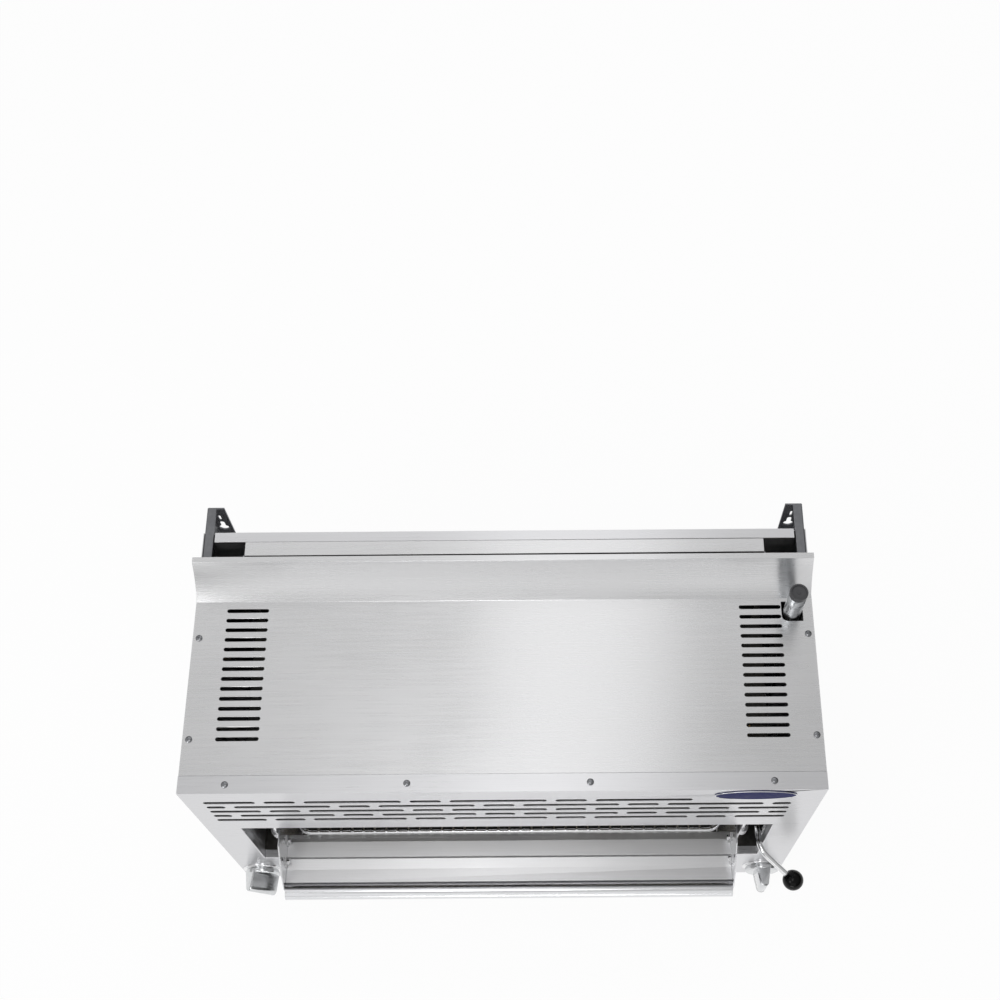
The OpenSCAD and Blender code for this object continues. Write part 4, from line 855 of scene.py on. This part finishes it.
def make_cover_screws():
    """The same screw in each place, with its recess turned a little further each time."""
    foot_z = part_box("cover_screws")[1].z - SCREW_HEAD_H * MM
    single = one_screw()
    mesh = bpy.data.meshes.new("screw")
    single.to_mesh(mesh)
    single.free()
    bm = bmesh.new()
    for i, place in enumerate(screw_places(), start=1):
        start = set(bm.verts)
        bm.from_mesh(mesh)
        made = [v for v in bm.verts if v not in start]
        turn = Matrix.Rotation(math.radians(SCREW_TURN * i), 3, "Z")
        bmesh.ops.rotate(bm, verts=made, cent=(0, 0, 0), matrix=turn)
        bmesh.ops.translate(bm, verts=made, vec=(place.x, place.y, foot_z))
    bpy.data.meshes.remove(mesh)
    add_piece(bm, "cross_recess_screws", ["cover_screws"], material=SCREW_STEEL, smooth_deg=30)


# Badge: a thin bright rim round a blank enamel field that stands up a little inside it
BADGE_RIM = 1.4
BADGE_RIM_H = 0.7
BADGE_RIM_EDGE = 0.25
BADGE_STEPS = 96
FIELD_GAP = 0.15
FIELD_SINK = 0.6
FIELD_BORDER = 4
FIELD_RISE = 0.4


def oval(bm, half_w, half_h, y):
    points = [2 * math.pi * i / BADGE_STEPS for i in range(BADGE_STEPS)]
    return [bm.verts.new((half_w * math.cos(a), y, half_h * math.sin(a))) for a in points]


def make_badge_rim():
    low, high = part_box("badge_plate")
    centre = middle("badge_plate")
    half_w, half_h = (high.x - low.x) / 2, (high.z - low.z) / 2
    rim, edge = BADGE_RIM * MM, BADGE_RIM_EDGE * MM
    back = low.y + BADGE_RIM_H * MM
    rings = [(0, back), (0, low.y + edge), (edge, low.y), (rim - edge, low.y),
             (rim, low.y + edge), (rim, back)]
    bm = bmesh.new()
    ovals = [oval(bm, half_w - inset, half_h - inset, y) for inset, y in rings]
    for ring in ovals:
        for pair in zip(ring, ring[1:] + ring[:1]):
            bm.edges.new(pair)
    for a, b in zip(ovals, ovals[1:] + ovals[:1]):
        edges = [e for e in bm.edges
                 if all(v in a for v in e.verts) or all(v in b for v in e.verts)]
        bmesh.ops.bridge_loops(bm, edges=edges)
    bmesh.ops.recalc_face_normals(bm, faces=bm.faces)
    bmesh.ops.translate(bm, verts=bm.verts, vec=(centre.x, 0, centre.z))
    add_piece(bm, "badge_rim", ["badge_plate"], slot="chrome", smooth_deg=25)


def make_badge_field():
    low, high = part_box("badge_plate")
    centre = middle("badge_plate")
    half_w, half_h = (high.x - low.x) / 2, (high.z - low.z) / 2
    gap = FIELD_GAP * MM
    bm = bmesh.new()
    field = bm.faces.new(oval(bm, half_w - gap, half_h - gap, high.y))
    front = pull(bm, [field], (0, low.y + FIELD_SINK * MM - high.y, 0))
    face = [f for f in bm.faces if all(v in front for v in f.verts)]
    bmesh.ops.inset_region(bm, faces=face, thickness=FIELD_BORDER * MM, depth=0)
    raised = {v for f in face for v in f.verts}
    bmesh.ops.translate(bm, verts=list(raised), vec=(0, -FIELD_RISE * MM, 0))
    bmesh.ops.recalc_face_normals(bm, faces=bm.faces)
    bmesh.ops.translate(bm, verts=bm.verts, vec=(centre.x, 0, centre.z))
    add_piece(bm, "badge_field", ["badge_plate"], smooth_deg=25)


# Burner screens: fine wire cloth in a flat frame
CLOTH_PITCH = 9 * MM
CLOTH_WIRE = 0.6 * MM
SCREEN_FRAME = 10 * MM
HOUSING_WALL = 1.8 * MM
FRAME_FACE = 50 * MM * MM


def screen_frame(bm, x0, x1, y0, y1, z):
    """A flat rectangle with its middle left open."""
    made = bmesh.ops.create_grid(bm, x_segments=1, y_segments=1, size=0.5)["verts"]
    bmesh.ops.scale(bm, verts=made, vec=(x1 - x0, y1 - y0, 1))
    bmesh.ops.translate(bm, verts=made, vec=((x0 + x1) / 2, (y0 + y1) / 2, z))
    face = next(f for f in bm.faces if all(v in made for v in f.verts))
    bmesh.ops.inset_region(bm, faces=[face], thickness=SCREEN_FRAME)
    bmesh.ops.delete(bm, geom=[face], context="FACES_ONLY")


def wire_places(start, length):
    """Where the wires stand along a length, about the cloth's pitch apart."""
    count = int(length / CLOTH_PITCH)
    return [start + length * i / count for i in range(1, count)]


def screen_cloth(bm, x0, x1, y0, y1, z):
    """Wires from front to back, and wires across on top of them."""
    rim = SCREEN_FRAME
    for x in wire_places(x0 + rim, x1 - x0 - rim * 2):
        wire(bm, [Vector((x, y0 + rim / 2, z - CLOTH_WIRE)),
                  Vector((x, y1 - rim / 2, z - CLOTH_WIRE))], CLOTH_WIRE, rings=1)
    for y in wire_places(y0 + rim, y1 - y0 - rim * 2):
        wire(bm, [Vector((x0 + rim / 2, y, z + CLOTH_WIRE)),
                  Vector((x1 - rim / 2, y, z + CLOTH_WIRE))], CLOTH_WIRE, rings=1)


def make_burner_screens():
    low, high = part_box("burner_screens")
    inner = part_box("right_burner_housing")[0].x + HOUSING_WALL
    bm = bmesh.new()
    for side in (-1, 1):
        x0, x1 = sorted((side * inner, side * high.x))
        screen_frame(bm, x0, x1, low.y, high.y, low.z)
        screen_cloth(bm, x0, x1, low.y, high.y, (low.z + high.z) / 2)
    flat = [f for f in bm.faces if abs(f.calc_center_median().z - low.z) < WELD
            and f.calc_area() > FRAME_FACE]
    pull(bm, flat, (0, 0, high.z - low.z), keep=True)
    bmesh.ops.recalc_face_normals(bm, faces=bm.faces)
    add_piece(bm, "wire_cloth_screens", ["burner_screens"], smooth_deg=40)


# Floor, light and background
FLOOR_HALF = 20
WHITE_SHARE = 0.94
SKY_LOW = 0.22
SKY_HIGH = 0.6
SKY_TOP = 0.8
SKY_TILT = 0.2


def make_floor():
    """A pale floor that looks white to the camera and keeps a soft shadow."""
    bm = bmesh.new()
    bmesh.ops.create_grid(bm, x_segments=1, y_segments=1, size=FLOOR_HALF)
    mesh = bpy.data.meshes.new("floor")
    bm.to_mesh(mesh)
    bm.free()
    floor = bpy.data.objects.new("floor", mesh)
    bpy.context.scene.collection.objects.link(floor)
    material = bpy.data.materials.new("pale floor")
    material.use_nodes = True
    tree = material.node_tree
    tree.nodes.clear()
    paths = add(tree, "ShaderNodeLightPath")
    seen = add(tree, "ShaderNodeMath", {"operation": "MAXIMUM"},
               {0: paths.outputs["Is Camera Ray"], 1: paths.outputs["Is Glossy Ray"]}).outputs[0]
    seen = add(tree, "ShaderNodeMath", {"operation": "MAXIMUM"},
               {0: seen, 1: paths.outputs["Is Transmission Ray"]}).outputs[0]
    factor = add(tree, "ShaderNodeMath", {"operation": "MULTIPLY", 1: WHITE_SHARE},
                 {0: seen}).outputs[0]
    matt = add(tree, "ShaderNodeBsdfDiffuse", {"Color": linear("ffffff")}).outputs[0]
    white = add(tree, "ShaderNodeEmission", {"Strength": 1.0}).outputs[0]
    finish_material(tree, add(tree, "ShaderNodeMixShader", {}, {0: factor, 1: matt, 2: white}))
    mesh.materials.append(material)


def make_sky():
    """A plain sky, brighter overhead and on the left, and white to the camera."""
    world = bpy.data.worlds.new("studio")
    bpy.context.scene.world = world
    world.use_nodes = True
    tree = world.node_tree
    tree.nodes.clear()
    paths = add(tree, "ShaderNodeLightPath")
    way = add(tree, "ShaderNodeTexCoord").outputs["Generated"]
    split = add(tree, "ShaderNodeSeparateXYZ", links={"Vector": way})
    rise = add(tree, "ShaderNodeMapRange", {"interpolation_type": "SMOOTHSTEP", "From Min": 0.0,
                                            "From Max": SKY_TOP, "To Min": SKY_LOW,
                                            "To Max": SKY_HIGH}, {"Value": split.outputs["Z"]})
    level = add(tree, "ShaderNodeMath", {"operation": "MULTIPLY_ADD", 1: -SKY_TILT},
                {0: split.outputs["X"], 2: rise.outputs[0]}).outputs[0]
    plain = add(tree, "ShaderNodeBackground", {"Color": linear("ffffff")},
                {"Strength": level}).outputs[0]
    white = add(tree, "ShaderNodeBackground", {"Color": linear("ffffff"), "Strength": 1.0})
    mixed = add(tree, "ShaderNodeMixShader", {},
                {0: paths.outputs["Is Camera Ray"], 1: plain, 2: white.outputs[0]})
    add(tree, "ShaderNodeOutputWorld", links={"Surface": mixed.outputs[0]})


# The softboxes in metres: name, place, what it points at, width, height and radiance
UNIT = (0, 0, 0.35)
SOFTBOXES = (
    ("overhead", (0.15, 0.85, 2.9), (0.15, 0, 0.5), 0.62, 1.3, 0.6),
    ("front overhead", (-0.3, -0.3, 2.9), (-0.2, -0.2, 0.5), 1.1, 0.9, 0.6),
    ("rear", (0, 2.2, 2.7), UNIT, 3.2, 1.0, 0.8),
    ("ledge", (-0.15, -0.85, 2.9), (-0.05, -0.24, 0.21), 0.7, 0.8, 2.9),
    ("low fill", (0, -2.2, 0.12), (0, 0, 0.3), 0.9, 0.22, 7.0),
    ("key", (-1.6, -1.7, 2.2), UNIT, 0.9, 0.9, 4.0),
    ("front fill", (0.1, -2.8, 1.3), UNIT, 2.6, 2.0, 0.58),
)


def softbox(name, place, aim, width, height, radiance):
    data = bpy.data.lights.new(name, "AREA")
    data.shape = "RECTANGLE"
    data.size = width
    data.size_y = height
    data.energy = radiance * width * height * math.pi
    lamp = bpy.data.objects.new(name, data)
    bpy.context.scene.collection.objects.link(lamp)
    lamp.location = place
    lamp.rotation_euler = (Vector(aim) - Vector(place)).to_track_quat("-Z", "Y").to_euler()


make_camera()
make_floor()
make_sky()
for box in SOFTBOXES:
    softbox(*box)
make_sheet_pieces()
make_plain_hardware()
make_rack_grid()
make_lever()
make_ball()
make_knob("left_knob")
make_knob("right_knob")
make_bezels()
make_inlet_pipe()
make_inlet_plug()
make_cover_screws()
make_badge_rim()
make_badge_field()
make_burner_screens()

bpy.context.scene.view_settings.view_transform = "Standard"
bpy.context.view_layer.update()
